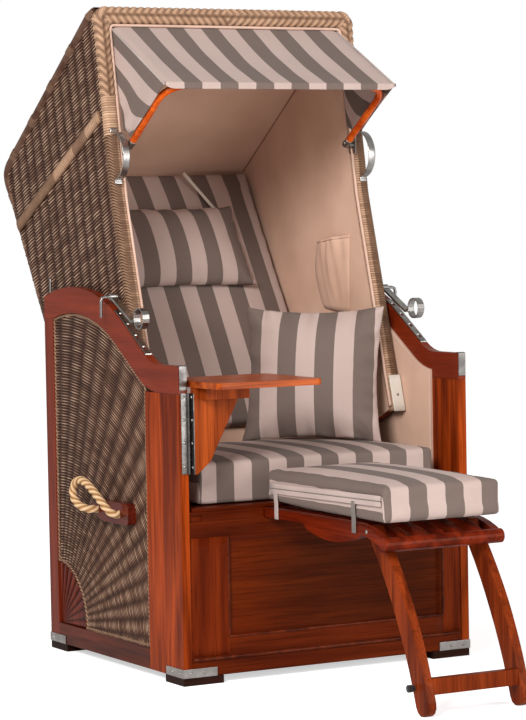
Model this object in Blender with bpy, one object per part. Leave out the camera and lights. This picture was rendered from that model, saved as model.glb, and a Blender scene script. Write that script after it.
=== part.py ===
"""Hooded wicker beach chair for one person: timber base, tilting hood, awning, side table and footrest."""
import math

import bmesh
import bpy
from mathutils import Vector

# Frame while modelling: X to the viewer's right, Y back from the front of the posts, Z up from the floor.
# All sizes are metres and all angles degrees.
GAP = 0.0003

# Base box
BASE_WIDTH = 0.800
BASE_DEPTH = 0.735
SIDE_THICK = 0.022
FOOT_HEIGHT = 0.019
FOOT_LENGTH_X = 0.106
FOOT_LENGTH_Y = 0.095
POST_WIDTH = 0.175
STILE_WIDTH = 0.049
BOTTOM_RAIL_HEIGHT = 0.051
ARM_HEIGHT = 0.753
ARM_RAIL_HEIGHT = 0.066
SLOPE_ANGLE = 32.6
SLOPE_FILLET = 0.120
ARCH_RISE = 0.177
ARCH_RADIUS = 0.512
ARCH_PEAK_Y = 0.567
FAN_RADIUS = 0.158
FAN_RAYS = 9
FAN_THICK = 0.014
FAN_RELIEF = 0.005
WICKER_THICK = 0.010
WICKER_RECESS = 0.006
WICKER_SPOKES = 15
SPOKE_RELIEF = 0.003
LINING_THICK = 0.008
LINING_FRONT = 0.118
LINING_BOTTOM = 0.300
LINING_BELOW_ARM = 0.045
BOARD_RECESS = 0.002
BOARD_THICK = 0.020
TOP_RAIL_BOTTOM = 0.348
TOP_RAIL_TOP = 0.409
PANEL_MARGIN_SIDE = 0.070
PANEL_MARGIN_LOW = 0.062
PANEL_MARGIN_TOP = 0.014
PANEL_RECESS = 0.006
PANEL_BEVEL = 0.010
NOTCH_WIDTH = 0.033
NOTCH_HEIGHT = 0.017
NOTCH_DEPTH = 0.006
NOTCH_BELOW_TOP = 0.008
BACK_PANEL_THICK = 0.018
BACK_PANEL_TOP = 0.490
BACK_PANEL_INSET = 0.006
SEAT_BOARD_THICK = 0.008
SEAT_BOARD_DEPTH = 0.600

# Base fittings
PLATE = 0.0016
BRACKET_HEIGHT = 0.021
BRACKET_LENGTH = 0.088
CAP_HEIGHT = 0.056
CAP_RETURN = 0.012
CAP_MARGIN = 0.001
RACK_THICK = 0.003
RACK_WIDTH = 0.018
RACK_FRONT = 0.172
RACK_BACK = 0.335
RACK_SLOTS = 4
SLOT_LENGTH = 0.012
SLOT_WIDTH = 0.007
ROPE_BLOCK_OUTLINE = [
    (0.243, 0.358, 0.012),
    (0.243, 0.412, 0.012),
    (0.400, 0.410, 0.020),
    (0.452, 0.397, 0.006),
    (0.452, 0.381, 0.006),
    (0.390, 0.360, 0.030),
]
ROPE_BLOCK_PROUD = 0.018
ROPE_RADIUS = 0.0095
ROPE_ROUTE = [
    (0.000, 0.408, 0.387),
    (0.016, 0.408, 0.387),
    (0.029, 0.419, 0.389),
    (0.036, 0.440, 0.396),
    (0.038, 0.461, 0.410),
    (0.037, 0.469, 0.430),
    (0.036, 0.458, 0.449),
    (0.035, 0.431, 0.458),
    (0.034, 0.398, 0.452),
    (0.033, 0.362, 0.436),
    (0.031, 0.329, 0.416),
    (0.026, 0.303, 0.396),
    (0.014, 0.291, 0.384),
    (0.000, 0.291, 0.384),
]

# Hood, in the pose of the photograph
HOOD_SIDE_GAP = 0.005
HOOD_PIVOT_Y = 0.475
HOOD_PIVOT_Z = 0.490
HOOD_FRONT_LOW = (0.232, 0.600)
HOOD_FRONT_BEND = (0.385, 1.150)
HOOD_FRONT_LEAN = 9.4
HOOD_ROOF_POINT = (0.502, 1.612)
HOOD_ROOF_FALL = 35.4
HOOD_BACK_POINT = (0.821, 0.852)
HOOD_BACK_LEAN = 31.7
HOOD_BACK_BOTTOM = 0.495
HOOD_CORNER = 0.050
HOOD_HEEL = 0.048
HOOD_SIDE_FOOT = (0.352, 0.547)
SKIN_THICK = 0.008
ROW_PITCH = 0.042
ROW_RELIEF = 0.003
ROW_SHAPE = [(0.0, 1.0), (0.25, 0.3), (0.5, 0.0), (0.75, 0.3)]
FRAME_THICK = 0.017
HOOD_LINING_THICK = 0.0037
FRAME_MEMBER = 0.075
RIM_DEPTH = 0.030
RIM_PROUD = 0.004
RIM_WIDTH = 0.036
RIM_TOP_HEIGHT = 0.050
RIM_ROUND = 0.009
PIN_RADIUS = 0.006
PIN_LENGTH = 0.021
PIN_FLANGE_RADIUS = 0.020
RUNNING_CLEARANCE = 0.0002
RING_WIDTH = 0.020
RING_BAND = 0.0022
RING_LOW = 1.195
RING_HIGH = 1.310
RING_REACH = 0.055
RING_TAB = 0.014

# Awning
BOW_PIVOT_Y = 0.408
BOW_PIVOT_Z = 1.277
BOW_LENGTH = 0.249
BOW_RISE = 34.5
BOW_SIDE_GAP = 0.023
BOW_RADIUS = 0.009
BOW_CORNER = 0.060
AWNING_BRACKET_HEIGHT = 0.044
AWNING_BRACKET_DEPTH = 0.030
AWNING_BRACKET_PLATE = 0.003
AWNING_BOSS_RADIUS = 0.008
COVER_THICK = 0.0018
COVER_ROOT_DROP = 0.010
COVER_SAG = 0.012
COVER_HEM = 0.016
COVER_GUSSET_RATIO = 0.84

# Latch arms
LATCH_ABOVE_ARM = 0.156
LATCH_BEHIND_FRONT = 0.040
LATCH_ROD = 0.004
LATCH_OVERHANG = 0.022
LATCH_DROP = 0.050
LATCH_BEND = 0.010
LATCH_END_Y = 0.247
LATCH_END_RISE = 0.030
LATCH_BAR = 0.006
LATCH_WIDTH = 0.018
LOOP_Y = 0.207
LOOP_RISE = 0.064
LOOP_RADIUS = 0.026
LOOP_BAND = 0.0026

# Side table
HINGE_BARREL = 0.0036
HINGE_LEAF = 0.002
HINGE_LEAF_WIDTH = 0.0165
HINGE_BELOW_ARM = 0.063
HINGE_LENGTH = 0.190
HINGE_OFFSET_Y = 0.0045
TABLE_LENGTH = 0.282
TABLE_FRONT = 0.134
TABLE_BEHIND = 0.140
TABLE_BELOW_ARM = 0.035
TABLE_THICK = 0.015
TABLE_CORNER = 0.012
TABLE_BRACKET_LENGTH = 0.1325
TABLE_BRACKET_THICK = 0.018
TABLE_BRACKET_TIP = 0.006
TABLE_BRACKET_KNEE = 0.041
TABLE_BRACKET_RISE = 0.029
TABLE_BATTEN_START = 0.018
TABLE_BATTEN_HEIGHT = 0.028
TABLE_BATTEN_DEPTH = 0.046

# Footrest
FOOTREST_X = -0.0175
FOOTREST_WIDTH = 0.315
FOOTREST_RAIL = 0.020
DECK_TOP = 0.4085
DECK_THICK = 0.0225
DECK_INSIDE = 0.165
DECK_STRAIGHT = 0.410
DECK_BEND_RADIUS = 0.2625
DECK_BEND_ANGLE = 27.2
ROLL_RADIUS = 0.0165
SLAT_COUNT = 5
SLAT_WIDTH = 0.024
SLAT_THICK = 0.012
CROSS_BAR = 0.030
BRACE_PAST_BEND = 0.045
BRACE_LENGTH = 0.290
BRACE_DEPTH = 0.030
SLOT_CLEARANCE = 0.002
RUNNER_HEIGHT = 0.030
LEG_PIVOT_PAST_BEND = 0.047
LEG_PIVOT_BELOW_TOP = 0.0235
LEG_THICK = 0.022
LEG_HEAD = 0.0205
LEG_WIDTH = 0.050
LEG_SPLAY = 0.191
LEG_BOW = 0.020
LEG_CLEARANCE = 0.002
LEG_BOLT = 0.005
LEG_BAR_HEIGHT = 0.036
LEG_BAR_THICK = 0.020
LEG_BAR_Z = 0.066
LEG_STEPS = 10

# Cushions: heights are the lifted lower edge, the upper edge and the crown above it
SEAT_SIDE_GAP = 0.0057
SEAT_FRONT = 0.040
SEAT_BACK = 0.500
SEAT_HEIGHTS = (0.004, 0.100, 0.012)
BACK_SIDE_GAP = 0.0077
BACK_LOW = -0.385
BACK_HIGH = 0.392
BACK_HEIGHTS = (0.010, 0.038, 0.022)
HEAD_HALF_WIDTH = 0.220
HEAD_LENGTH = 0.245
HEAD_ALONG = 0.131
HEAD_HEIGHTS = (0.014, 0.034, 0.034)
HEAD_SETTLE = 0.0009
PILLOW_SIZE = 0.360
PILLOW_FROM_SIDE = 0.1397
PILLOW_Y = 0.392
PILLOW_YAW = -42.0
PILLOW_LEAN = 12.0
PILLOW_HEIGHTS = (0.050, 0.054, 0.052)
PILLOW_SETTLE = 0.0159
FOOT_CUSHION_WIDTH = 0.300
FOOT_CUSHION_PAST_BEND = 0.135
FOOT_CUSHION_BACK = -0.015
FOOT_CUSHION_HEIGHTS = (0.022, 0.088, 0.012)
CUSHION_DRAW = 0.02
PILLOW_DRAW = 0.03
CUSHION_STEPS_X = 12
CUSHION_STEPS_Y = 10

# Values that follow from the sizes above
HALF_WIDTH = BASE_WIDTH / 2
INSIDE = HALF_WIDTH - SIDE_THICK
SLOPE = math.radians(SLOPE_ANGLE)
ARCH_HEIGHT = ARM_HEIGHT + ARCH_RISE
ARCH_CENTRE_Z = ARCH_HEIGHT - ARCH_RADIUS
SLOPE_TOP_Y = ARCH_PEAK_Y - ARCH_RADIUS * math.sin(SLOPE)
SLOPE_TOP_Z = ARCH_CENTRE_Z + ARCH_RADIUS * math.cos(SLOPE)
KNEE_Y = SLOPE_TOP_Y - (SLOPE_TOP_Z - ARM_HEIGHT) / math.tan(SLOPE)
FILLET_Y = KNEE_Y - SLOPE_FILLET * math.tan(SLOPE / 2)
OPENING_LOW = FOOT_HEIGHT + BOTTOM_RAIL_HEIGHT
OPENING_BACK = BASE_DEPTH - STILE_WIDTH
LINING_FACE = INSIDE - LINING_THICK
HOOD_HALF_WIDTH = LINING_FACE - HOOD_SIDE_GAP
SEAT_TOP = TOP_RAIL_TOP + GAP + SEAT_BOARD_THICK
BOARD_BACK = BOARD_RECESS + BOARD_THICK
BACK_PANEL_FRONT = BASE_DEPTH - BACK_PANEL_INSET - BACK_PANEL_THICK
FRAME_INSET = SKIN_THICK + GAP
LINING_INSET = FRAME_INSET + FRAME_THICK + GAP
HOOD_INSIDE = HOOD_HALF_WIDTH - LINING_INSET - HOOD_LINING_THICK
SHELL_SETBACK = RIM_DEPTH + GAP
RIM_OUTSIDE = HOOD_HALF_WIDTH + RIM_PROUD
RIM_INSIDE = RIM_OUTSIDE - RIM_WIDTH
RING_X = (RIM_OUTSIDE + RIM_INSIDE) / 2
BOW_HALF_WIDTH = RIM_INSIDE - BOW_SIDE_GAP
SEAT_HALF_WIDTH = HOOD_INSIDE - SEAT_SIDE_GAP
BACK_HALF_WIDTH = HOOD_INSIDE - BACK_SIDE_GAP
FOOTREST_LEFT = FOOTREST_X - FOOTREST_WIDTH / 2
FOOTREST_RIGHT = FOOTREST_X + FOOTREST_WIDTH / 2
DECK_LOW = DECK_TOP - DECK_THICK
BRACE_FRONT = DECK_STRAIGHT + BRACE_PAST_BEND
BRACE_BACK = BRACE_FRONT - BRACE_LENGTH
LEG_PIVOT_Y = -DECK_STRAIGHT - LEG_PIVOT_PAST_BEND
LEG_PIVOT_Z = DECK_TOP - LEG_PIVOT_BELOW_TOP
LEG_FOOT_Y = LEG_PIVOT_Y - LEG_SPLAY
FOOT_CUSHION_FRONT = -DECK_STRAIGHT - FOOT_CUSHION_PAST_BEND
HINGE_HIGH = ARM_HEIGHT - HINGE_BELOW_ARM
HINGE_LOW = HINGE_HIGH - HINGE_LENGTH
TABLE_TOP_Z = ARM_HEIGHT - TABLE_BELOW_ARM
HINGE_X = -INSIDE + GAP
SMALL_ANGLE = 1e-4
HOOD_FACE_SHORTEST = 0.5
EDGE_STEP = 0.020
ARC_STEPS = 5
ROUND_SIDES = 16

MATERIALS = {}


def clear_scene():
    """Remove every object that the file started with."""
    for thing in list(bpy.data.objects):
        bpy.data.objects.remove(thing)


def add_material(name, colour, roughness, metallic=0.0):
    """One plain material per finish."""
    material = bpy.data.materials.new(name)
    material.use_nodes = True
    shader = material.node_tree.nodes["Principled BSDF"]
    shader.inputs["Base Color"].default_value = (*colour, 1.0)
    shader.inputs["Roughness"].default_value = roughness
    shader.inputs["Metallic"].default_value = metallic
    MATERIALS[name] = material


def add_materials():
    """The finishes seen on the chair."""
    add_material("mahogany", (0.30, 0.06, 0.02), 0.35)
    add_material("dark_mahogany", (0.09, 0.012, 0.006), 0.25)
    add_material("varnished_bow", (0.55, 0.09, 0.012), 0.25)
    add_material("wicker", (0.16, 0.11, 0.08), 0.55)
    add_material("braid", (0.38, 0.25, 0.16), 0.55)
    add_material("lining_cloth", (0.55, 0.38, 0.27), 0.9)
    add_material("striped_cloth", (0.45, 0.40, 0.37), 0.9)
    add_material("steel", (0.60, 0.58, 0.56), 0.3, 1.0)
    add_material("rope_fibre", (0.70, 0.44, 0.19), 0.9)


def finish(name, mesh_data, material):
    """Turn a bmesh into a named object with outward faces and one material."""
    bmesh.ops.remove_doubles(mesh_data, verts=mesh_data.verts, dist=1e-6)
    bmesh.ops.recalc_face_normals(mesh_data, faces=mesh_data.faces)
    mesh = bpy.data.meshes.new(name)
    mesh_data.to_mesh(mesh)
    mesh_data.free()
    thing = bpy.data.objects.new(name, mesh)
    mesh.materials.append(MATERIALS[material])
    bpy.context.scene.collection.objects.link(thing)
    return thing


def on_axis(axis, first, second, along):
    """A point from two outline coordinates and a distance along the prism's axis."""
    if axis == "X":
        return (along, first, second)
    if axis == "Y":
        return (first, along, second)
    return (first, second, along)


def prism_faces(mesh_data, outline, low, high, axis):
    """Add a closed prism to a bmesh."""
    near = [mesh_data.verts.new(on_axis(axis, a, b, low)) for a, b in outline]
    far = [mesh_data.verts.new(on_axis(axis, a, b, high)) for a, b in outline]
    mesh_data.faces.new(near)
    mesh_data.faces.new(far)
    for i in range(len(outline)):
        j = (i + 1) % len(outline)
        mesh_data.faces.new((near[i], near[j], far[j], far[i]))


def prism(name, outline, low, high, material, axis="X"):
    """A solid whose outline is drawn across the axis."""
    mesh_data = bmesh.new()
    prism_faces(mesh_data, outline, min(low, high), max(low, high), axis)
    return finish(name, mesh_data, material)


def rectangle(a0, b0, a1, b1):
    """Four corners of an upright rectangle."""
    return [(a0, b0), (a1, b0), (a1, b1), (a0, b1)]


def box(name, low, high, material):
    """A block between two opposite corners."""
    return prism(name, rectangle(low[1], low[2], high[1], high[2]), low[0], high[0], material)


def circle(a, b, radius, sides=ROUND_SIDES):
    """Points of a circle."""
    turn = 2 * math.pi / sides
    return [(a + radius * math.cos(i * turn), b + radius * math.sin(i * turn)) for i in range(sides)]


def rounded(corners):
    """An outline whose corners, given as (a, b, radius), are arcs where the radius isn't zero."""
    outline = []
    for i, (a, b, radius) in enumerate(corners):
        here = Vector((a, b))
        before = (Vector(corners[i - 1][:2]) - here).normalized()
        after = (Vector(corners[(i + 1) % len(corners)][:2]) - here).normalized()
        if radius == 0:
            outline.append((a, b))
            continue
        half = math.acos(max(-1.0, min(1.0, before.dot(after)))) / 2
        centre = here + (before + after).normalized() * radius / math.sin(half)
        start = here + before * radius / math.tan(half) - centre
        sweep_angle = math.pi - 2 * half
        turn = 1 if before.x * after.y - before.y * after.x < 0 else -1
        for step in range(ARC_STEPS + 1):
            angle = turn * sweep_angle * step / ARC_STEPS
            outline.append((centre.x + start.x * math.cos(angle) - start.y * math.sin(angle),
                            centre.y + start.x * math.sin(angle) + start.y * math.cos(angle)))
    return outline


def change(thing, tool, operation):
    """Cut or join with another object, which then stays as a hidden tool."""
    modifier = thing.modifiers.new(tool.name, "BOOLEAN")
    modifier.object = tool
    modifier.operation = operation
    tool.hide_render = True
    tool.hide_viewport = True
    tool.display_type = "WIRE"
    tool.parent = thing


def cut(thing, tool):
    """Take the tool's volume away."""
    change(thing, tool, "DIFFERENCE")


def join(thing, tool):
    """Add the tool's volume."""
    change(thing, tool, "UNION")


def sweep(name, points, section, normal, material):
    """A bar of one section along a path; the section's second coordinate follows the normal."""
    mesh_data = bmesh.new()
    path = [Vector(point) for point in points]
    rings = []
    for i, point in enumerate(path):
        ahead = path[min(i + 1, len(path) - 1)]
        behind = path[max(i - 1, 0)]
        tangent = (ahead - behind).normalized()
        side = tangent.cross(Vector(normal)).normalized()
        up = side.cross(tangent)
        rings.append([mesh_data.verts.new(point + side * a + up * b) for a, b in section])
    for one, two in zip(rings, rings[1:]):
        for i in range(len(section)):
            j = (i + 1) % len(section)
            mesh_data.faces.new((one[i], one[j], two[j], two[i]))
    mesh_data.faces.new(rings[0])
    mesh_data.faces.new(rings[-1])
    return finish(name, mesh_data, material)


def cushion(name, half_x, half_y, heights, draw, material):
    """A stuffed solid on its own z = 0: crowned top, lifted edges and sides drawn in between the corners."""
    lift, edge, crown = heights
    mesh_data = bmesh.new()

    def vertex(i, j, top):
        s = 2 * i / CUSHION_STEPS_X - 1
        t = 2 * j / CUSHION_STEPS_Y - 1
        x = half_x * s * (1 - draw * (1 - t * t))
        y = half_y * t * (1 - draw * (1 - s * s))
        middle = (1 - s ** 4) * (1 - t ** 4)
        bow = (1 - s * s) * (1 - t * t)
        z = edge + crown * (0.5 * middle + 0.5 * bow) if top else lift * (1 - middle)
        return mesh_data.verts.new((x, y, z))

    columns = range(CUSHION_STEPS_X + 1)
    rows = range(CUSHION_STEPS_Y + 1)
    upper = [[vertex(i, j, True) for j in rows] for i in columns]
    lower = [[vertex(i, j, False) for j in rows] for i in columns]
    for layer in (upper, lower):
        for i in columns[:-1]:
            for j in rows[:-1]:
                mesh_data.faces.new((layer[i][j], layer[i + 1][j], layer[i + 1][j + 1], layer[i][j + 1]))
    border = [(i, 0) for i in columns[:-1]] + [(CUSHION_STEPS_X, j) for j in rows[:-1]]
    border += [(i, CUSHION_STEPS_Y) for i in reversed(columns[1:])] + [(0, j) for j in reversed(rows[1:])]
    for (i, j), (k, m) in zip(border, border[1:] + border[:1]):
        mesh_data.faces.new((lower[i][j], lower[k][m], upper[k][m], upper[i][j]))
    return finish(name, mesh_data, material)


def joint(name, place, parent, parent_place=(0, 0, 0)):
    """An empty on a joint's axis."""
    empty = bpy.data.objects.new(name, None)
    bpy.context.scene.collection.objects.link(empty)
    empty.parent = parent
    empty.location = Vector(place) - Vector(parent_place)
    return empty


def attach(thing, empty, place=(0, 0, 0)):
    """Hang an object, modelled in the chair's frame, on an empty that sits at a known place."""
    thing.parent = empty
    thing.location = thing.location - Vector(place)


def side_name(side):
    """The prefix of the pieces that come in pairs."""
    return "left" if side < 0 else "right"


def arm_z(y, drop):
    """Height of the arm rail's upper edge at y, lowered by a distance square to the edge."""
    fillet = SLOPE_FILLET + drop
    arch = ARCH_RADIUS - drop
    if y <= FILLET_Y:
        return ARM_HEIGHT - drop
    if y <= FILLET_Y + fillet * math.sin(SLOPE):
        return ARM_HEIGHT + SLOPE_FILLET - math.sqrt(fillet ** 2 - (y - FILLET_Y) ** 2)
    tangent_y = ARCH_PEAK_Y - arch * math.sin(SLOPE)
    if y <= tangent_y:
        return ARCH_CENTRE_Z + arch * math.cos(SLOPE) - (tangent_y - y) * math.tan(SLOPE)
    return ARCH_CENTRE_Z + math.sqrt(arch ** 2 - (y - ARCH_PEAK_Y) ** 2)


def above_arm(y, rise):
    """A point of the side view at a height over the arm rail."""
    return Vector((y, arm_z(y, 0) + rise))


def arm_edge(drop, start, end):
    """Points along the arm rail's edge from front to back, on one grid for all its neighbours."""
    count = round(BASE_DEPTH / EDGE_STEP)
    ys = [BASE_DEPTH * i / count for i in range(count + 1)]
    ys += [FILLET_Y, FILLET_Y + (SLOPE_FILLET + drop) * math.sin(SLOPE)]
    ys += [ARCH_PEAK_Y - (ARCH_RADIUS - drop) * math.sin(SLOPE)]
    inside = sorted(y for y in ys if start + GAP < y < end - GAP)
    return [(y, arm_z(y, drop)) for y in [start] + inside + [end]]


def side_frame(side, base):
    """Post, stile, rails and arm of one side."""
    outer = side * HALF_WIDTH
    inner = side * INSIDE
    name = side_name(side)
    post_top = ARM_HEIGHT - ARM_RAIL_HEIGHT - GAP
    stile_top = arm_z(OPENING_BACK, ARM_RAIL_HEIGHT)
    post = box(f"{name}_post", (inner, 0, FOOT_HEIGHT), (outer, POST_WIDTH, post_top), "mahogany")
    stile = box(f"{name}_back_stile", (inner, OPENING_BACK, FOOT_HEIGHT),
                (outer, BASE_DEPTH, stile_top - GAP), "mahogany")
    rail = box(f"{name}_bottom_rail", (inner, POST_WIDTH + GAP, FOOT_HEIGHT),
               (outer, OPENING_BACK - GAP, OPENING_LOW), "mahogany")
    lower_edge = arm_edge(ARM_RAIL_HEIGHT, 0, OPENING_BACK) + [(BASE_DEPTH, stile_top)]
    outline = arm_edge(0, 0, BASE_DEPTH) + lower_edge[::-1]
    arm = prism(f"{name}_arm_rail", outline, inner, outer, "mahogany")
    for piece in (post, stile, rail, arm):
        attach(piece, base)


def fan_outline_point(angle, radius):
    """A point of the fan, which fills the lower back corner of the opening."""
    return (OPENING_BACK - GAP - radius * math.cos(angle), OPENING_LOW + GAP + radius * math.sin(angle))


def corner_fan(side, base):
    """Carved quarter sunburst: rays that rise and fall around the corner."""
    mesh_data = bmesh.new()
    back_x = side * (INSIDE + GAP)
    count = 2 * FAN_RAYS
    back_rim = []
    front_rim = []
    for i in range(count + 1):
        angle = math.pi / 2 * i / count
        ridge = i % 2
        radius = FAN_RADIUS if ridge or i in (0, count) else FAN_RADIUS - FAN_RELIEF
        y, z = fan_outline_point(angle, radius)
        thick = FAN_THICK + (FAN_RELIEF if ridge else 0)
        back_rim.append(mesh_data.verts.new((back_x, y, z)))
        front_rim.append(mesh_data.verts.new((back_x + side * thick, y, z)))
    corner = fan_outline_point(0, 0)
    back_hub = mesh_data.verts.new((back_x, *corner))
    front_hub = mesh_data.verts.new((back_x + side * FAN_THICK, *corner))
    for i in range(count):
        mesh_data.faces.new((back_hub, back_rim[i], back_rim[i + 1]))
        mesh_data.faces.new((front_hub, front_rim[i], front_rim[i + 1]))
        mesh_data.faces.new((back_rim[i], back_rim[i + 1], front_rim[i + 1], front_rim[i]))
    mesh_data.faces.new((back_hub, back_rim[0], front_rim[0], front_hub))
    mesh_data.faces.new((back_hub, back_rim[-1], front_rim[-1], front_hub))
    attach(finish(f"{side_name(side)}_corner_fan", mesh_data, "mahogany"), base)


def fan_angle(point):
    """Angle at which a point of the side is seen from the fan's corner."""
    corner_y, corner_z = fan_outline_point(0, 0)
    return math.atan2(point[1] - corner_z, corner_y - point[0])


def spoke_ends(border):
    """The panel's outer border from the bottom round to the back, with a point where each spoke's
    ridge and each valley between spokes reaches it."""
    corner = Vector(fan_outline_point(0, 0))
    step = math.pi / 4 / WICKER_SPOKES
    ends = [(fan_angle(point), point) for point in border]
    for i in range(1, 2 * WICKER_SPOKES):
        angle = i * step
        ray = Vector((-math.cos(angle), math.sin(angle)))
        for a, b in zip(border, border[1:]):
            if fan_angle(a) + SMALL_ANGLE < angle < fan_angle(b) - SMALL_ANGLE:
                hit = meet(corner, ray, Vector(a), Vector(b) - Vector(a))
                ends.append((angle, (hit.x, hit.y)))
    return sorted(ends)


def spoke_depth(angle):
    """How far the woven face lies below the spokes' ridges."""
    turn = angle / (math.pi / 2 / WICKER_SPOKES)
    return SPOKE_RELIEF * abs(2 * (turn % 1) - 1)


def wicker_panel(side, base):
    """Woven panel that fills the side's opening around the fan, with spokes that fan out from it."""
    mesh_data = bmesh.new()
    border = [(POST_WIDTH + GAP, OPENING_LOW + GAP)]
    border += arm_edge(ARM_RAIL_HEIGHT + GAP, POST_WIDTH + GAP, OPENING_BACK - GAP)
    outer = HALF_WIDTH - WICKER_RECESS
    loops = []
    for angle, far in spoke_ends(border):
        near = fan_outline_point(angle, FAN_RADIUS + 2 * GAP)
        back_x = side * (outer - WICKER_THICK)
        front_x = side * (outer - spoke_depth(angle))
        corners = [(back_x, *near), (back_x, *far), (front_x, *far), (front_x, *near)]
        loops.append([mesh_data.verts.new(corner) for corner in corners])
    for first, second in zip(loops, loops[1:]):
        for i in range(4):
            j = (i + 1) % 4
            mesh_data.faces.new((first[i], first[j], second[j]))
            mesh_data.faces.new((first[i], second[j], second[i]))
    mesh_data.faces.new(loops[0])
    mesh_data.faces.new(loops[-1])
    attach(finish(f"{side_name(side)}_wicker_panel", mesh_data, "wicker"), base)


def inner_lining(side, base):
    """Cloth-covered board on the inside of the side frame."""
    top = arm_edge(LINING_BELOW_ARM, LINING_FRONT, BACK_PANEL_FRONT - GAP)
    outline = [(BACK_PANEL_FRONT - GAP, LINING_BOTTOM), (LINING_FRONT, LINING_BOTTOM)] + top
    board = prism(f"{side_name(side)}_inner_lining", outline, side * LINING_FACE, side * (INSIDE - GAP),
                  "lining_cloth")
    attach(board, base)


def feet_and_brackets(side, base):
    """Two feet and two angle brackets on one side."""
    outer = side * HALF_WIDTH
    for end in ("front", "back"):
        face = 0 if end == "front" else BASE_DEPTH
        inward = 1 if end == "front" else -1
        name = f"{end}_{side_name(side)}"
        near, far = sorted((face, face + inward * FOOT_LENGTH_Y))
        foot = box(f"{name}_foot", (outer - side * FOOT_LENGTH_X, near, 0), (outer, far, FOOT_HEIGHT - GAP),
                   "mahogany")
        attach(foot, base)
        out_x = outer + side * (GAP + PLATE)
        out_y = face - inward * (GAP + PLATE)
        near_x = outer + side * GAP
        near_y = face - inward * GAP
        end_x = outer - side * BRACKET_LENGTH
        end_y = face + inward * BRACKET_LENGTH
        outline = [(out_x, out_y), (out_x, end_y), (near_x, end_y)]
        outline += [(near_x, near_y), (end_x, near_y), (end_x, out_y)]
        bracket = prism(f"{name}_corner_bracket", outline, FOOT_HEIGHT, FOOT_HEIGHT + BRACKET_HEIGHT, "steel",
                        "Z")
        attach(bracket, base)


def post_cap(side, base):
    """Steel cap on the front end of the arm."""
    low = ARM_HEIGHT - CAP_HEIGHT
    top = ARM_HEIGHT + GAP
    outline = [(-GAP, low), (-GAP, top), (CAP_RETURN, top), (CAP_RETURN, top + PLATE), (-GAP, top + PLATE),
               (-GAP - PLATE, top), (-GAP - PLATE, low)]
    cap = prism(f"{side_name(side)}_post_cap", outline, side * (INSIDE + CAP_MARGIN),
                side * (HALF_WIDTH - CAP_MARGIN), "steel")
    attach(cap, base)


def latch_rack(side, base):
    """Slotted steel strip on the slope of the arm."""
    middle = side * (HALF_WIDTH - SIDE_THICK / 2)
    outline = arm_edge(-GAP, RACK_FRONT, RACK_BACK)
    outline += arm_edge(-GAP - RACK_THICK, RACK_FRONT, RACK_BACK)[::-1]
    rack = prism(f"{side_name(side)}_latch_rack", outline, middle - RACK_WIDTH / 2, middle + RACK_WIDTH / 2,
                 "steel")
    slots = bmesh.new()
    for i in range(RACK_SLOTS):
        y = RACK_FRONT + (RACK_BACK - RACK_FRONT) * (i + 0.5) / RACK_SLOTS
        reach = SLOT_LENGTH + RACK_THICK
        z = arm_z(y, 0)
        hole = rectangle(y - SLOT_LENGTH / 2, z - reach, y + SLOT_LENGTH / 2, z + 2 * reach)
        prism_faces(slots, hole, middle - SLOT_WIDTH / 2, middle + SLOT_WIDTH / 2, "X")
    cut(rack, finish(f"{side_name(side)}_rack_slots", slots, "steel"))
    attach(rack, base)


def rope_handle(side, base):
    """Rope block on the wicker and the rope loop that hangs out of it."""
    back = side * (HALF_WIDTH - WICKER_RECESS + GAP)
    face = HALF_WIDTH + ROPE_BLOCK_PROUD
    near, far = sorted((back, side * face))
    block = prism(f"{side_name(side)}_rope_block", rounded(ROPE_BLOCK_OUTLINE), near, far, "dark_mahogany")
    attach(block, base)
    data = bpy.data.curves.new(f"{side_name(side)}_rope", "CURVE")
    data.dimensions = "3D"
    data.bevel_depth = ROPE_RADIUS
    data.bevel_resolution = 1
    data.use_fill_caps = True
    spline = data.splines.new("POLY")
    spline.points.add(len(ROPE_ROUTE) - 1)
    for point, (out, y, z) in zip(spline.points, ROPE_ROUTE):
        point.co = (side * (face + GAP + out), y, z, 1)
    rope = bpy.data.objects.new(f"{side_name(side)}_rope", data)
    data.materials.append(MATERIALS["rope_fibre"])
    bpy.context.scene.collection.objects.link(rope)
    attach(rope, base)


def pivot_pin(side, base):
    """Flanged pin on the inner lining that carries the hood."""
    flange = prism(f"{side_name(side)}_pivot_pin", circle(HOOD_PIVOT_Y, HOOD_PIVOT_Z, PIN_FLANGE_RADIUS),
                   side * (HOOD_HALF_WIDTH + GAP), side * (LINING_FACE - GAP), "steel")
    shaft = prism(f"{side_name(side)}_pin_shaft", circle(HOOD_PIVOT_Y, HOOD_PIVOT_Z, PIN_RADIUS),
                  side * (HOOD_HALF_WIDTH - PIN_LENGTH), side * (LINING_FACE - 2 * GAP), "steel")
    join(flange, shaft)
    attach(flange, base)


def front_board(base):
    """Board under the top rail, with a bevelled sunk panel."""
    low = FOOT_HEIGHT
    top = TOP_RAIL_BOTTOM - GAP
    half = INSIDE - GAP
    board = box("front_board", (-half, BOARD_RECESS, low), (half, BOARD_BACK, top), "mahogany")
    sunk = bmesh.new()
    inner_half = half - PANEL_MARGIN_SIDE
    panel_low = low + PANEL_MARGIN_LOW
    panel_top = top - PANEL_MARGIN_TOP
    rise = PANEL_BEVEL * 2
    flat = rectangle(-inner_half, panel_low, inner_half, panel_top)
    wide = rectangle(-inner_half - rise, panel_low - rise, inner_half + rise, panel_top + rise)
    floor_y = BOARD_RECESS + PANEL_RECESS
    near = [sunk.verts.new((x, floor_y - 2 * PANEL_RECESS, z)) for x, z in wide]
    far = [sunk.verts.new((x, floor_y, z)) for x, z in flat]
    sunk.faces.new(near)
    sunk.faces.new(far)
    for i in range(4):
        sunk.faces.new((near[i], near[i - 1], far[i - 1], far[i]))
    cut(board, finish("front_panel_sink", sunk, "mahogany"))
    attach(board, base)


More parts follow.
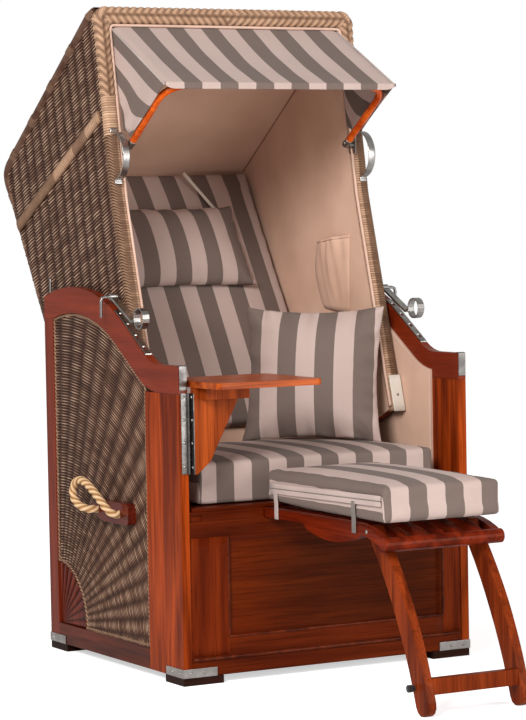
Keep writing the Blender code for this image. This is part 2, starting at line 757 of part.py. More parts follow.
def front_top_rail(base):
    """Rail over the front board, with the footrest's slot and a finger notch."""
    half = INSIDE - GAP
    rail = box("front_top_rail", (-half, BOARD_RECESS, TOP_RAIL_BOTTOM), (half, BOARD_BACK, TOP_RAIL_TOP),
               "mahogany")
    slot = box("footrest_slot", (FOOTREST_LEFT - SLOT_CLEARANCE, -BOARD_BACK, DECK_LOW - SLOT_CLEARANCE),
               (FOOTREST_RIGHT + SLOT_CLEARANCE, 2 * BOARD_BACK, TOP_RAIL_TOP + DECK_THICK), "mahogany")
    cut(rail, slot)
    notch_top = TOP_RAIL_TOP - NOTCH_BELOW_TOP
    notch = box("finger_notch", (-half - NOTCH_DEPTH, -BOARD_BACK, notch_top - NOTCH_HEIGHT),
                (-half + NOTCH_WIDTH, BOARD_RECESS + NOTCH_DEPTH, notch_top), "mahogany")
    cut(rail, notch)
    attach(rail, base)


def inner_boards(base):
    """Back panel, seat board and the runner frame that guides the footrest."""
    half = INSIDE - GAP
    panel = box("back_panel", (-half, BACK_PANEL_FRONT, FOOT_HEIGHT),
                (half, BACK_PANEL_FRONT + BACK_PANEL_THICK, BACK_PANEL_TOP), "mahogany")
    attach(panel, base)
    seat_half = LINING_FACE - GAP
    seat = box("seat_board", (-seat_half, BOARD_RECESS, TOP_RAIL_TOP + GAP),
               (seat_half, SEAT_BOARD_DEPTH, SEAT_TOP), "mahogany")
    attach(seat, base)
    runner_top = DECK_LOW - GAP
    runner_low = runner_top - RUNNER_HEIGHT
    back = BACK_PANEL_FRONT - GAP
    frame = box("footrest_runner_frame", (FOOTREST_LEFT, BOARD_BACK + GAP, runner_low),
                (FOOTREST_LEFT + FOOTREST_RAIL, back, runner_top), "mahogany")
    other = box("right_runner", (FOOTREST_RIGHT - FOOTREST_RAIL, BOARD_BACK + GAP, runner_low),
                (FOOTREST_RIGHT, back, runner_top), "mahogany")
    tie = box("runner_tie", (FOOTREST_LEFT + FOOTREST_RAIL / 2, back - FOOTREST_RAIL, runner_low),
              (FOOTREST_RIGHT - FOOTREST_RAIL / 2, back, runner_top), "mahogany")
    join(frame, other)
    join(frame, tie)
    attach(frame, base)


def seat_cushion(base):
    """Thick cushion on the seat board."""
    half_depth = (SEAT_BACK - SEAT_FRONT) / 2
    pad = cushion("seat_cushion", SEAT_HALF_WIDTH, half_depth, SEAT_HEIGHTS, CUSHION_DRAW, "striped_cloth")
    pad.location = (0, (SEAT_FRONT + SEAT_BACK) / 2, SEAT_TOP + GAP)
    attach(pad, base)


def throw_pillow(base):
    """Square pillow that stands on the seat cushion, in the right-hand corner."""
    half = PILLOW_SIZE / 2
    pillow = cushion("throw_pillow", half, half, PILLOW_HEIGHTS, PILLOW_DRAW, "striped_cloth")
    lean = math.radians(PILLOW_LEAN)
    seat_crown = SEAT_TOP + SEAT_HEIGHTS[1] + SEAT_HEIGHTS[2]
    pillow.rotation_euler = (math.pi / 2 - lean, 0, math.radians(PILLOW_YAW))
    middle_z = seat_crown - PILLOW_SETTLE + half * math.cos(lean)
    pillow.location = (HOOD_INSIDE - PILLOW_FROM_SIDE, PILLOW_Y, middle_z)
    attach(pillow, base)


def meet(point, direction, other_point, other_direction):
    """Where two lines cross."""
    p, d = Vector(point), Vector(direction)
    q, e = Vector(other_point), Vector(other_direction)
    step = ((q.x - p.x) * e.y - (q.y - p.y) * e.x) / (d.x * e.y - d.y * e.x)
    return p + d * step


def hood_lines(inset, setback):
    """Front, roof and back lines of the hood's side view, moved inward."""
    lean = math.radians(HOOD_FRONT_LEAN)
    fall = math.radians(HOOD_ROOF_FALL)
    back = math.radians(HOOD_BACK_LEAN)
    front_line = (Vector(HOOD_FRONT_BEND) + Vector((setback, 0)), Vector((math.sin(lean), math.cos(lean))))
    roof_dir = Vector((math.cos(fall), -math.sin(fall)))
    roof_in = Vector((-math.sin(fall), -math.cos(fall)))
    back_dir = Vector((math.sin(back), math.cos(back)))
    back_in = Vector((-math.cos(back), math.sin(back)))
    roof_line = (Vector(HOOD_ROOF_POINT) + roof_in * inset, roof_dir)
    back_line = (Vector(HOOD_BACK_POINT) + back_in * inset, back_dir)
    return front_line, roof_line, back_line


def hood_outline(inset, setback):
    """Side view of a hood layer, closed around the pivot at the foot."""
    front_line, roof_line, back_line = hood_lines(inset, setback)
    top = meet(*front_line, *roof_line)
    corner = meet(*roof_line, *back_line)
    heel = meet(*back_line, (0, HOOD_BACK_BOTTOM), (1, 0))
    low_y, low_z = HOOD_FRONT_LOW
    bend_y, bend_z = HOOD_FRONT_BEND
    low_edge = HOOD_PIVOT_Z - HOOD_HEEL
    return rounded([
        (low_y + setback, low_z, 0),
        (bend_y + setback, bend_z, 0),
        (top.x, top.y, 0),
        (corner.x, corner.y, HOOD_CORNER - inset),
        (heel.x, heel.y, 0),
        (HOOD_PIVOT_Y + HOOD_HEEL, low_edge, 0),
        (HOOD_PIVOT_Y - HOOD_HEEL, low_edge, 0),
        (HOOD_SIDE_FOOT[0] + setback, HOOD_SIDE_FOOT[1], 0),
    ])


def hood_cavity(inset):
    """Side view of what is hollowed out of a hood layer, open to the front and below."""
    front_line, roof_line, back_line = hood_lines(inset, -BASE_DEPTH)
    top = meet(*front_line, *roof_line)
    corner = meet(*roof_line, *back_line)
    heel = meet(*back_line, (0, FOOT_HEIGHT), (1, 0))
    return rounded([
        (top.x, FOOT_HEIGHT, 0),
        (top.x, top.y, 0),
        (corner.x, corner.y, HOOD_CORNER - inset),
        (heel.x, FOOT_HEIGHT, 0),
    ])


def woven_rows(outline):
    """The skin's side view with the rows of the weave standing out along the roof and the back."""
    rows = []
    for i, point in enumerate(outline):
        start = Vector(point[:2])
        run = Vector(outline[(i + 1) % len(outline)][:2]) - start
        rows.append(tuple(start))
        count = round(run.length / ROW_PITCH)
        if run.y >= 0 or run.length < HOOD_FACE_SHORTEST:
            continue
        inward = Vector((run.y, -run.x)).normalized()
        for row in range(count):
            for along, depth in ROW_SHAPE:
                if row + along > 0:
                    spot = start + run * ((row + along) / count) + inward * (ROW_RELIEF * depth)
                    rows.append(tuple(spot))
    return rows


def hood_layer(name, inset, thick, material, outline=None):
    """One layer of the hood's walls: two sides, roof and back in one shell."""
    half = HOOD_HALF_WIDTH - inset
    shell = prism(name, outline or hood_outline(inset, SHELL_SETBACK), -half, half, material)
    cavity = prism(f"{name}_cavity", hood_cavity(inset + thick), -half + thick, half - thick, material)
    cut(shell, cavity)
    return shell


def pin_holes(name, y, z, radius):
    """Tool for a pair of holes through both sides of the hood."""
    reach = HOOD_HALF_WIDTH + RIM_PROUD
    holes = bmesh.new()
    for side in (-1, 1):
        ends = sorted((side * reach, side * (HOOD_INSIDE + HOOD_LINING_THICK)))
        prism_faces(holes, circle(y, z, radius), ends[0], ends[1], "X")
    return finish(name, holes, "steel")


def hood_shells(hood, place):
    """Woven skin, timber frame and cloth lining."""
    rows = woven_rows(hood_outline(0, SHELL_SETBACK))
    skin = hood_layer("hood_wicker", 0, SKIN_THICK, "wicker", rows)
    frame = hood_layer("hood_frame", FRAME_INSET, FRAME_THICK, "mahogany")
    lining = hood_layer("hood_lining", LINING_INSET, HOOD_LINING_THICK, "lining_cloth")
    for shell in (skin, frame):
        pivot_hole = PIN_RADIUS + RUNNING_CLEARANCE
        latch_hole = LATCH_ROD + RUNNING_CLEARANCE
        cut(shell, pin_holes(f"{shell.name}_pivot_holes", HOOD_PIVOT_Y, HOOD_PIVOT_Z, pivot_hole))
        cut(shell, pin_holes(f"{shell.name}_latch_holes", *latch_pivot(), latch_hole))
    cut(frame, frame_windows())
    for shell in (skin, frame, lining):
        attach(shell, hood, place)


def frame_windows():
    """Tool that leaves the frame's posts and rails: openings through the sides, the back and the roof."""
    windows = bmesh.new()
    front_line, roof_line, back_line = hood_lines(FRAME_MEMBER, SHELL_SETBACK + FRAME_MEMBER)
    top = meet(*front_line, *roof_line)
    corner = meet(*roof_line, *back_line)
    sill = HOOD_FRONT_LOW[1] + FRAME_MEMBER
    heel = meet(*back_line, (0, sill), (1, 0))
    foot_y = HOOD_FRONT_LOW[0] + SHELL_SETBACK + FRAME_MEMBER
    side_view = [(foot_y, sill), (HOOD_FRONT_BEND[0] + SHELL_SETBACK + FRAME_MEMBER, HOOD_FRONT_BEND[1]),
                 tuple(top), tuple(corner), tuple(heel)]
    prism_faces(windows, side_view, -HALF_WIDTH, HALF_WIDTH, "X")
    half = HOOD_HALF_WIDTH - FRAME_MEMBER
    reach = FRAME_INSET + FRAME_THICK + FRAME_MEMBER
    out_front, out_roof, out_back = hood_lines(-SKIN_THICK, 0)
    back_in = Vector((-out_back[1].y, out_back[1].x)) * reach
    low = meet(*out_back, (0, sill), (1, 0))
    high = meet(*out_back, tuple(corner), tuple(roof_line[1]))
    prism_faces(windows, [low, high, high + back_in, low + back_in], -half, half, "X")
    roof_in = Vector((out_roof[1].y, -out_roof[1].x)) * reach
    near = meet(*out_roof, tuple(top), tuple(front_line[1]))
    far = meet(*out_roof, tuple(corner), tuple(back_line[1]))
    prism_faces(windows, [near, far, far + roof_in, near + roof_in], -half, half, "X")
    return finish("hood_frame_windows", windows, "mahogany")


def hood_rim(hood, place):
    """Braided rim along both front edges and over the top."""
    front_line, roof_line, back_line = hood_lines(-RIM_PROUD, 0)
    rear_line = hood_lines(-RIM_PROUD, RIM_DEPTH)[0]
    top = meet(*front_line, *roof_line)
    rear = meet(*rear_line, *roof_line)
    low_y, low_z = HOOD_FRONT_LOW
    bend_y, bend_z = HOOD_FRONT_BEND
    outline = rounded([
        (low_y, low_z, 0),
        (bend_y, bend_z, 0),
        (top.x, top.y, RIM_DEPTH / 2),
        (rear.x, rear.y, 0),
        (bend_y + RIM_DEPTH, bend_z, 0),
        (low_y + RIM_DEPTH, low_z, 0),
    ])
    rim = prism("hood_rim", outline, -RIM_OUTSIDE, RIM_OUTSIDE, "braid")
    inside = hood_cavity(RIM_TOP_HEIGHT - RIM_PROUD)
    cavity = prism("hood_rim_cavity", inside, -RIM_INSIDE, RIM_INSIDE, "braid")
    cut(rim, cavity)
    bevel = rim.modifiers.new("round_edges", "BEVEL")
    bevel.width = RIM_ROUND
    bevel.segments = 2
    bevel.limit_method = "ANGLE"
    bevel.angle_limit = math.radians(50)
    attach(rim, hood, place)


def front_edge_y(z):
    """Where the hood's front edge is at a height."""
    low_y, low_z = HOOD_FRONT_LOW
    bend_y, bend_z = HOOD_FRONT_BEND
    if z < bend_z:
        return low_y + (bend_y - low_y) * (z - low_z) / (bend_z - low_z)
    return bend_y + (z - bend_z) * math.tan(math.radians(HOOD_FRONT_LEAN))


def latch_pivot():
    """Where the latch rods turn in the hood's sides, just behind the rim."""
    z = ARM_HEIGHT + LATCH_ABOVE_ARM
    return Vector((front_edge_y(z) + LATCH_BEHIND_FRONT, z))


def hand_ring(side, hood, place):
    """Steel band bowed out from the front of the rim, with a tab at each end."""
    low = Vector((front_edge_y(RING_LOW), RING_LOW))
    high = Vector((front_edge_y(RING_HIGH), RING_HIGH))
    along = (high - low).normalized()
    out = Vector((-along.y, along.x))
    half = (high - low).length / 2
    middle = (low + high) / 2 + out * (GAP + RING_BAND / 2)
    path = [middle - along * (half + RING_TAB)]
    steps = 2 * ARC_STEPS
    for i in range(steps + 1):
        angle = math.pi * i / steps
        path.append(middle - along * half * math.cos(angle) + out * RING_REACH * math.sin(angle))
    path.append(middle + along * (half + RING_TAB))
    outline = band(path, RING_BAND)
    x = side * RING_X
    ring = prism(f"{side_name(side)}_hand_ring", outline, x - RING_WIDTH / 2, x + RING_WIDTH / 2, "steel")
    attach(ring, hood, place)


def band(path, thick):
    """Outline of a strip of even thickness along a path in the side view."""
    left = []
    right = []
    for i, point in enumerate(path):
        ahead = path[min(i + 1, len(path) - 1)]
        behind = path[max(i - 1, 0)]
        before = (point - behind).normalized() if i > 0 else (ahead - point).normalized()
        after = (ahead - point).normalized() if i < len(path) - 1 else before
        across = before + after
        across = Vector((-across.y, across.x)).normalized()
        square = Vector((-before.y, before.x))
        reach = thick / 2 / max(0.5, across.dot(square))
        left.append(tuple(point + across * reach))
        right.append(tuple(point - across * reach))
    return left + right[::-1]


def awning_bracket(side, hood, place):
    """Plate on the rim's inner face with the boss that the bow turns on."""
    wall = RIM_INSIDE - GAP
    face = wall - AWNING_BRACKET_PLATE
    half_depth = AWNING_BRACKET_DEPTH / 2
    half_height = AWNING_BRACKET_HEIGHT / 2
    plate = box(f"{side_name(side)}_awning_bracket",
                (side * face, BOW_PIVOT_Y - half_depth, BOW_PIVOT_Z - half_height),
                (side * wall, BOW_PIVOT_Y + half_depth, BOW_PIVOT_Z + half_height), "steel")
    boss_end = BOW_HALF_WIDTH + BOW_RADIUS + GAP
    boss = prism(f"{side_name(side)}_awning_boss", circle(BOW_PIVOT_Y, BOW_PIVOT_Z, AWNING_BOSS_RADIUS),
                 side * boss_end, side * (wall - AWNING_BRACKET_PLATE / 2), "steel")
    join(plate, boss)
    attach(plate, hood, place)


def bow_direction():
    """Unit direction of the bow's arms in the side view."""
    rise = math.radians(BOW_RISE)
    return Vector((-math.cos(rise), math.sin(rise)))


def awning_bow(awning, place):
    """Varnished bentwood bow: two arms and the front bar."""
    direction = bow_direction()
    reach = BOW_LENGTH - BOW_CORNER
    plan = [(-BOW_HALF_WIDTH, 0)]
    for side in (-1, 1):
        for i in range(ARC_STEPS + 1):
            angle = math.pi / 2 * i / ARC_STEPS
            a, b = (math.cos(angle), math.sin(angle)) if side < 0 else (math.sin(angle), math.cos(angle))
            plan.append((side * (BOW_HALF_WIDTH - BOW_CORNER + BOW_CORNER * a), reach + BOW_CORNER * b))
    plan.append((BOW_HALF_WIDTH, 0))
    points = [(x, BOW_PIVOT_Y + direction.x * r, BOW_PIVOT_Z + direction.y * r) for x, r in plan]
    square = (0, -direction.y, direction.x)
    bow = sweep("awning_bow", points, circle(0, 0, BOW_RADIUS, ROUND_SIDES // 2), square, "varnished_bow")
    attach(bow, awning, place)


def awning_cover(awning, place):
    """Striped cover from under the rim over the bow, with a sagging top, side gussets and a hem."""
    pivot = Vector((BOW_PIVOT_Y, BOW_PIVOT_Z))
    clear = BOW_RADIUS + 2 * COVER_THICK
    root_inset = RIM_TOP_HEIGHT - RIM_PROUD + COVER_ROOT_DROP
    front_line, roof_line, back_line = hood_lines(root_inset, RIM_DEPTH / 2)
    under_rim = meet(*front_line, *roof_line)
    bar = pivot + bow_direction() * BOW_LENGTH
    run = (bar - under_rim).normalized()
    above = Vector((run.y, -run.x))
    front = bar + above * clear + run * clear
    half = BOW_HALF_WIDTH + clear + COVER_THICK
    across = 12
    down = 3
    along = 8
    mesh_data = bmesh.new()
    rows = []
    for j in range(along + 1):
        v = j / along
        edge = under_rim.lerp(front, v)
        low = edge.lerp(pivot, COVER_GUSSET_RATIO)
        line = [(-half, low.lerp(edge, i / down)) for i in range(down)]
        for i in range(across + 1):
            s = 2 * i / across - 1
            sag = COVER_SAG * math.sin(math.pi * v) * (1 - s * s)
            line.append((half * s, edge - Vector((0, sag))))
        line += [(half, edge.lerp(low, (i + 1) / down)) for i in range(down)]
        rows.append([mesh_data.verts.new((x, p.x, p.y)) for x, p in line])
    hem = front + Vector((0, -COVER_HEM))
    hem_row = [mesh_data.verts.new((half * (2 * i / across - 1), hem.x, hem.y)) for i in range(across + 1)]
    for one, two in zip(rows, rows[1:]):
        for i in range(len(one) - 1):
            mesh_data.faces.new((one[i], one[i + 1], two[i + 1], two[i]))
    last = rows[-1][down:down + across + 1]
    for i in range(across):
        mesh_data.faces.new((last[i], last[i + 1], hem_row[i + 1], hem_row[i]))
    cover = finish("awning_cover", mesh_data, "striped_cloth")
    solid = cover.modifiers.new("cloth", "SOLIDIFY")
    solid.thickness = COVER_THICK
    solid.offset = 0
    attach(cover, awning, place)


def back_frame():
    """Point and angle of the lining's face on the hood's back wall."""
    back_line = hood_lines(LINING_INSET + HOOD_LINING_THICK + GAP, 0)[2]
    return back_line, math.pi / 2 - math.radians(HOOD_BACK_LEAN)


def hood_cushions(hood, place):
    """Back cushion on the lining and head pillow on the cushion."""
    (point, direction), tilt = back_frame()
    inward = Vector((-direction.y, direction.x))
    half = (BACK_HIGH - BACK_LOW) / 2
    pad = cushion("back_cushion", BACK_HALF_WIDTH, half, BACK_HEIGHTS, CUSHION_DRAW, "striped_cloth")
    middle = point + direction * (BACK_HIGH + BACK_LOW) / 2
    pad.location = (0, middle.x, middle.y)
    pad.rotation_euler = (tilt, 0, 0)
    attach(pad, hood, place)
    pillow = cushion("head_pillow", HEAD_HALF_WIDTH, HEAD_LENGTH / 2, HEAD_HEIGHTS, PILLOW_DRAW,
                     "striped_cloth")
    seat = point + direction * HEAD_ALONG + inward * (BACK_HEIGHTS[1] + BACK_HEIGHTS[2] + GAP - HEAD_SETTLE)
    pillow.location = (0, seat.x, seat.y)
    pillow.rotation_euler = (tilt, 0, 0)
    attach(pillow, hood, place)


def latch_arm(side, latch, place):
    """Latch bar over the rack with its pull loop, on a bent rod that turns in the hood's side."""
    middle = side * (HALF_WIDTH - SIDE_THICK / 2)
    low, high = middle - LATCH_WIDTH / 2, middle + LATCH_WIDTH / 2
    start = latch_pivot()
    end = above_arm(LATCH_END_Y, LATCH_END_RISE)
    loop_centre = above_arm(LOOP_Y, LOOP_RISE)
    loop_edge = loop_centre + (end - loop_centre).normalized() * (LOOP_RADIUS - LOOP_BAND / 2)
    name = side_name(side)
    arm = prism(f"{name}_latch_arm", band([start, end, loop_edge], LATCH_BAR), low, high, "steel")
    hub = prism(f"{name}_latch_hub", circle(*start, 2 * LATCH_ROD), low, high, "steel")
    loop = prism(f"{name}_latch_loop", circle(*loop_centre, LOOP_RADIUS), low, high, "steel")
    hole = prism(f"{name}_latch_loop_hole", circle(*loop_centre, LOOP_RADIUS - LOOP_BAND),
                 low - LATCH_WIDTH, high + LATCH_WIDTH, "steel")
    inner = HOOD_HALF_WIDTH - LATCH_OVERHANG
    outer = HALF_WIDTH + LATCH_OVERHANG
    route = [(inner, 0), (outer - LATCH_BEND, 0), (outer - LATCH_BEND / 4, -LATCH_BEND / 4),
             (outer, -LATCH_BEND), (outer, -LATCH_DROP)]
    points = [(side * x, start.x, start.y + z) for x, z in route]
    rod = sweep(f"{name}_latch_rod", points, circle(0, 0, LATCH_ROD, ROUND_SIDES // 2), (0, 1, 0), "steel")
    join(arm, hub)
    join(arm, loop)
    cut(arm, hole)
    join(arm, rod)
    attach(arm, latch, place)


def table_hinge(base):
    """Fixed leaf and barrel of the table's upright hinge, on the front of the left post."""
    axis_y = -HINGE_OFFSET_Y
    leaf_right = HINGE_X - HINGE_BARREL / 2
    leaf = box("table_hinge_leaf", (leaf_right - HINGE_LEAF_WIDTH, -GAP - HINGE_LEAF, HINGE_LOW),
               (leaf_right, -GAP, HINGE_HIGH), "steel")
    round_end = circle(HINGE_X, axis_y, HINGE_BARREL, ROUND_SIDES // 2)
    barrel = prism("table_hinge_barrel", round_end, HINGE_LOW, HINGE_HIGH, "steel", "Z")
    join(leaf, barrel)
    attach(leaf, base)


def side_table(table, place):
    """Moving leaf, bracket board with its batten, and the table top."""
    leaf_x = HINGE_X + HINGE_BARREL + GAP
    board_x = leaf_x + HINGE_LEAF + GAP
    front = -HINGE_OFFSET_Y - TABLE_BRACKET_THICK
    back = -HINGE_OFFSET_Y
    top_low = TABLE_TOP_Z - TABLE_THICK
    bracket_top = top_low - GAP
    leaf = box("table_moving_leaf", (leaf_x, front, HINGE_LOW), (leaf_x + HINGE_LEAF, back, HINGE_HIGH),
               "steel")
    tip = board_x + TABLE_BRACKET_LENGTH
    knee = (board_x + TABLE_BRACKET_KNEE, HINGE_LOW + TABLE_BRACKET_RISE)
    outline = [(board_x, HINGE_LOW), (board_x + TABLE_BRACKET_TIP, HINGE_LOW), knee]
    outline += [(tip, bracket_top), (board_x, bracket_top)]
    bracket = prism("table_bracket", outline, front, back, "mahogany", "Y")
    batten_front = back - TABLE_BATTEN_DEPTH
    batten_low = bracket_top - TABLE_BATTEN_HEIGHT
    batten_left = board_x + TABLE_BATTEN_START
    batten = box("table_batten", (batten_left, batten_front, batten_low), (tip, back, bracket_top), "mahogany")
    join(bracket, batten)
    left = GAP - LINING_FACE
    right = left + TABLE_LENGTH
    corners = [(left, -TABLE_FRONT, TABLE_CORNER), (right, -TABLE_FRONT, TABLE_CORNER),
               (right, TABLE_BEHIND, TABLE_CORNER), (left, TABLE_BEHIND, TABLE_CORNER)]
    top = prism("table_top", rounded(corners), top_low, TABLE_TOP_Z, "mahogany", "Z")
    for piece in (leaf, bracket, top):
        attach(piece, table, place)


def deck_path(level):
    """Side view of a deck line at a height: straight out of the base, then bent down at the front."""
    straight = [Vector((DECK_INSIDE, level)), Vector((-DECK_STRAIGHT, level))]
    bend = math.radians(DECK_BEND_ANGLE)
    for i in range(1, ARC_STEPS + 1):
        angle = bend * i / ARC_STEPS
        straight.append(Vector((-DECK_STRAIGHT - DECK_BEND_RADIUS * math.sin(angle),
                                level - DECK_BEND_RADIUS * (1 - math.cos(angle)))))
    return straight


def brace_outline():
    """Crescent under a side rail."""
    top = DECK_TOP - DECK_THICK / 2
    outline = [(-BRACE_BACK, top), (-BRACE_FRONT, top)]
    for i in range(1, ARC_STEPS * 2):
        share = i / (ARC_STEPS * 2)
        y = -BRACE_FRONT + (BRACE_FRONT - BRACE_BACK) * share
        outline.append((y, DECK_LOW - BRACE_DEPTH * math.sin(math.pi * share) ** 0.8))
    return outline


def footrest_deck(footrest):
    """Side rails with their braces, slats, cross bar and front roll in one glued frame."""
    middle = DECK_TOP - DECK_THICK / 2
    rail_line = band(deck_path(middle), DECK_THICK)
    slat_line = band(deck_path(DECK_TOP - SLAT_THICK / 2), SLAT_THICK)
    deck = prism("footrest_deck", rail_line, FOOTREST_LEFT, FOOTREST_LEFT + FOOTREST_RAIL, "mahogany")
    right_rail = prism("footrest_right_rail", rail_line, FOOTREST_RIGHT - FOOTREST_RAIL, FOOTREST_RIGHT,
                       "mahogany")
    end = deck_path(middle)[-1]
    roll = prism("footrest_roll", circle(end.x, end.y, ROLL_RADIUS), FOOTREST_LEFT, FOOTREST_RIGHT,
                 "mahogany")
    bar = box("footrest_cross_bar", (FOOTREST_LEFT + FOOTREST_RAIL / 2, DECK_INSIDE - CROSS_BAR, DECK_LOW),
              (FOOTREST_RIGHT - FOOTREST_RAIL / 2, DECK_INSIDE, DECK_TOP - GAP), "mahogany")
    for tool in (right_rail, roll, bar):
        join(deck, tool)
    for x in (FOOTREST_LEFT, FOOTREST_RIGHT - FOOTREST_RAIL):
        join(deck, prism("footrest_brace", brace_outline(), x, x + FOOTREST_RAIL, "mahogany"))
    for side in (-1, 1):
        rail_middle = FOOTREST_X + side * (FOOTREST_WIDTH - FOOTREST_RAIL) / 2
        bolt_end = FOOTREST_X + side * (FOOTREST_WIDTH / 2 - FOOTREST_RAIL - LEG_CLEARANCE - LEG_THICK)
        bolt = circle(LEG_PIVOT_Y, LEG_PIVOT_Z, LEG_BOLT)
        join(deck, prism("footrest_leg_bolt", bolt, rail_middle, bolt_end, "mahogany"))
    room = FOOTREST_WIDTH - 2 * (FOOTREST_RAIL + LEG_THICK + 2 * LEG_CLEARANCE)
    pitch = (room - SLAT_WIDTH) / (SLAT_COUNT - 1)
    for i in range(SLAT_COUNT):
        x = FOOTREST_X - room / 2 + i * pitch
        join(deck, prism("footrest_slat", slat_line, x, x + SLAT_WIDTH, "mahogany"))
    attach(deck, footrest)


def leg_path():
    """Centre line of a leg in the side view: a slight bow from the pivot to the floor."""
    head = Vector((LEG_PIVOT_Y, LEG_PIVOT_Z))
    foot = Vector((LEG_FOOT_Y, LEG_WIDTH / 2 + GAP))
    bulge = Vector((-(head - foot).y, (head - foot).x)).normalized() * LEG_BOW
    path = []
    for i in range(LEG_STEPS + 1):
        share = i / LEG_STEPS
        path.append(head.lerp(foot, share) + bulge * 4 * share * (1 - share))
    return path


def leg_outline():
    """Leg that widens from its round head to its round foot."""
    path = leg_path()
    left = []
    right = []
    for i, point in enumerate(path):
        ahead = path[min(i + 1, LEG_STEPS)] - path[max(i - 1, 0)]
        across = Vector((-ahead.y, ahead.x)).normalized()
        reach = LEG_HEAD + (LEG_WIDTH / 2 - LEG_HEAD) * min(1, 2 * i / LEG_STEPS)
        left.append(point + across * reach)
        right.append(point - across * reach)
    head_out = (path[0] - path[1]).normalized() * LEG_HEAD
    foot_out = (path[-1] - path[-2]).normalized() * LEG_WIDTH / 2
    outline = [tuple(p) for p in left]
    outline += half_round(path[-1], left[-1], foot_out)
    outline += [tuple(p) for p in right[::-1]]
    outline += half_round(path[0], right[0], head_out)
    return outline


def half_round(centre, start, out):
    """Points of a half circle from a start point, over the outward reach."""
    arm = start - centre
    steps = ARC_STEPS + 1
    angles = [math.pi * i / steps for i in range(1, steps)]
    return [tuple(centre + arm * math.cos(angle) + out * math.sin(angle)) for angle in angles]


def footrest_legs(legs, place):
    """Pair of curved legs with their cross bar, hung inside the deck's rails."""
    outline = leg_outline()
    left = FOOTREST_LEFT + FOOTREST_RAIL + LEG_CLEARANCE
    right = FOOTREST_RIGHT - FOOTREST_RAIL - LEG_CLEARANCE
    pair = prism("footrest_legs", outline, left, left + LEG_THICK, "mahogany")
    join(pair, prism("footrest_right_leg", outline, right - LEG_THICK, right, "mahogany"))
    path = leg_path()
    centre = min(path, key=lambda point: abs(point.y - LEG_BAR_Z))
    bar_front = centre.x - LEG_WIDTH / 4 - LEG_BAR_THICK / 2
    bar = box("footrest_leg_bar", (left + LEG_THICK / 2, bar_front, LEG_BAR_Z - LEG_BAR_HEIGHT / 2),
              (right - LEG_THICK / 2, bar_front + LEG_BAR_THICK, LEG_BAR_Z + LEG_BAR_HEIGHT / 2), "mahogany")
    join(pair, bar)
    hole = circle(LEG_PIVOT_Y, LEG_PIVOT_Z, LEG_BOLT + RUNNING_CLEARANCE)
    cut(pair, prism("footrest_leg_bolt_hole", hole, FOOTREST_LEFT, FOOTREST_RIGHT, "mahogany"))
    attach(pair, legs, place)


def footrest_cushion(footrest):
    """Striped cushion on the deck."""
    length = FOOT_CUSHION_BACK - FOOT_CUSHION_FRONT
    pad = cushion("footrest_cushion", FOOT_CUSHION_WIDTH / 2, length / 2, FOOT_CUSHION_HEIGHTS, CUSHION_DRAW,
                  "striped_cloth")
    pad.location = (FOOTREST_X, (FOOT_CUSHION_FRONT + FOOT_CUSHION_BACK) / 2, DECK_TOP + GAP)
    attach(pad, footrest)


def centre_on_origin(base):
    """Move the whole chair so that the middle of its depth is on the origin."""
    bpy.context.view_layer.update()
    graph = bpy.context.evaluated_depsgraph_get()
    ys = []
    for thing in bpy.context.scene.objects:
        if thing.type != "MESH" or thing.hide_viewport:
            continue
        solid = thing.evaluated_get(graph)
        ys += [(solid.matrix_world @ Vector(corner)).y for corner in solid.bound_box]
    base.location.y -= (min(ys) + max(ys)) / 2


def main():
    """Build the chair."""
    clear_scene()
    add_materials()
    base = joint("chair", (0, 0, 0), None)
    hood_place = (0, HOOD_PIVOT_Y, HOOD_PIVOT_Z)
    awning_place = (0, BOW_PIVOT_Y, BOW_PIVOT_Z)
    latch_place = (0, *latch_pivot())
    table_place = (HINGE_X, -HINGE_OFFSET_Y, 0)
    legs_place = (0, LEG_PIVOT_Y, LEG_PIVOT_Z)
    hood = joint("hood_tilt", hood_place, base)
    awning = joint("awning_swing", awning_place, hood, hood_place)
    table = joint("table_swing", table_place, base)
    footrest = joint("footrest_slide", (0, 0, 0), base)
    legs = joint("leg_fold", legs_place, footrest)

    for side in (-1, 1):
        side_frame(side, base)
        corner_fan(side, base)
        wicker_panel(side, base)
        inner_lining(side, base)
        feet_and_brackets(side, base)
        post_cap(side, base)
        latch_rack(side, base)
        rope_handle(side, base)
        pivot_pin(side, base)
    front_board(base)
    front_top_rail(base)
    inner_boards(base)
    seat_cushion(base)
    throw_pillow(base)

    hood_shells(hood, hood_place)
    hood_rim(hood, hood_place)
    hood_cushions(hood, hood_place)
    for side in (-1, 1):
        hand_ring(side, hood, hood_place)
        awning_bracket(side, hood, hood_place)
        latch = joint(f"{side_name(side)}_latch_lift", latch_place, hood, hood_place)
        latch_arm(side, latch, latch_place)
    awning_bow(awning, awning_place)
    awning_cover(awning, awning_place)

    table_hinge(base)
    side_table(table, table_place)

    footrest_deck(footrest)
    footrest_cushion(footrest)
    footrest_legs(legs, legs_place)
    centre_on_origin(base)


main()
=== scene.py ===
import math

import bpy
from mathutils import Matrix, Vector, noise


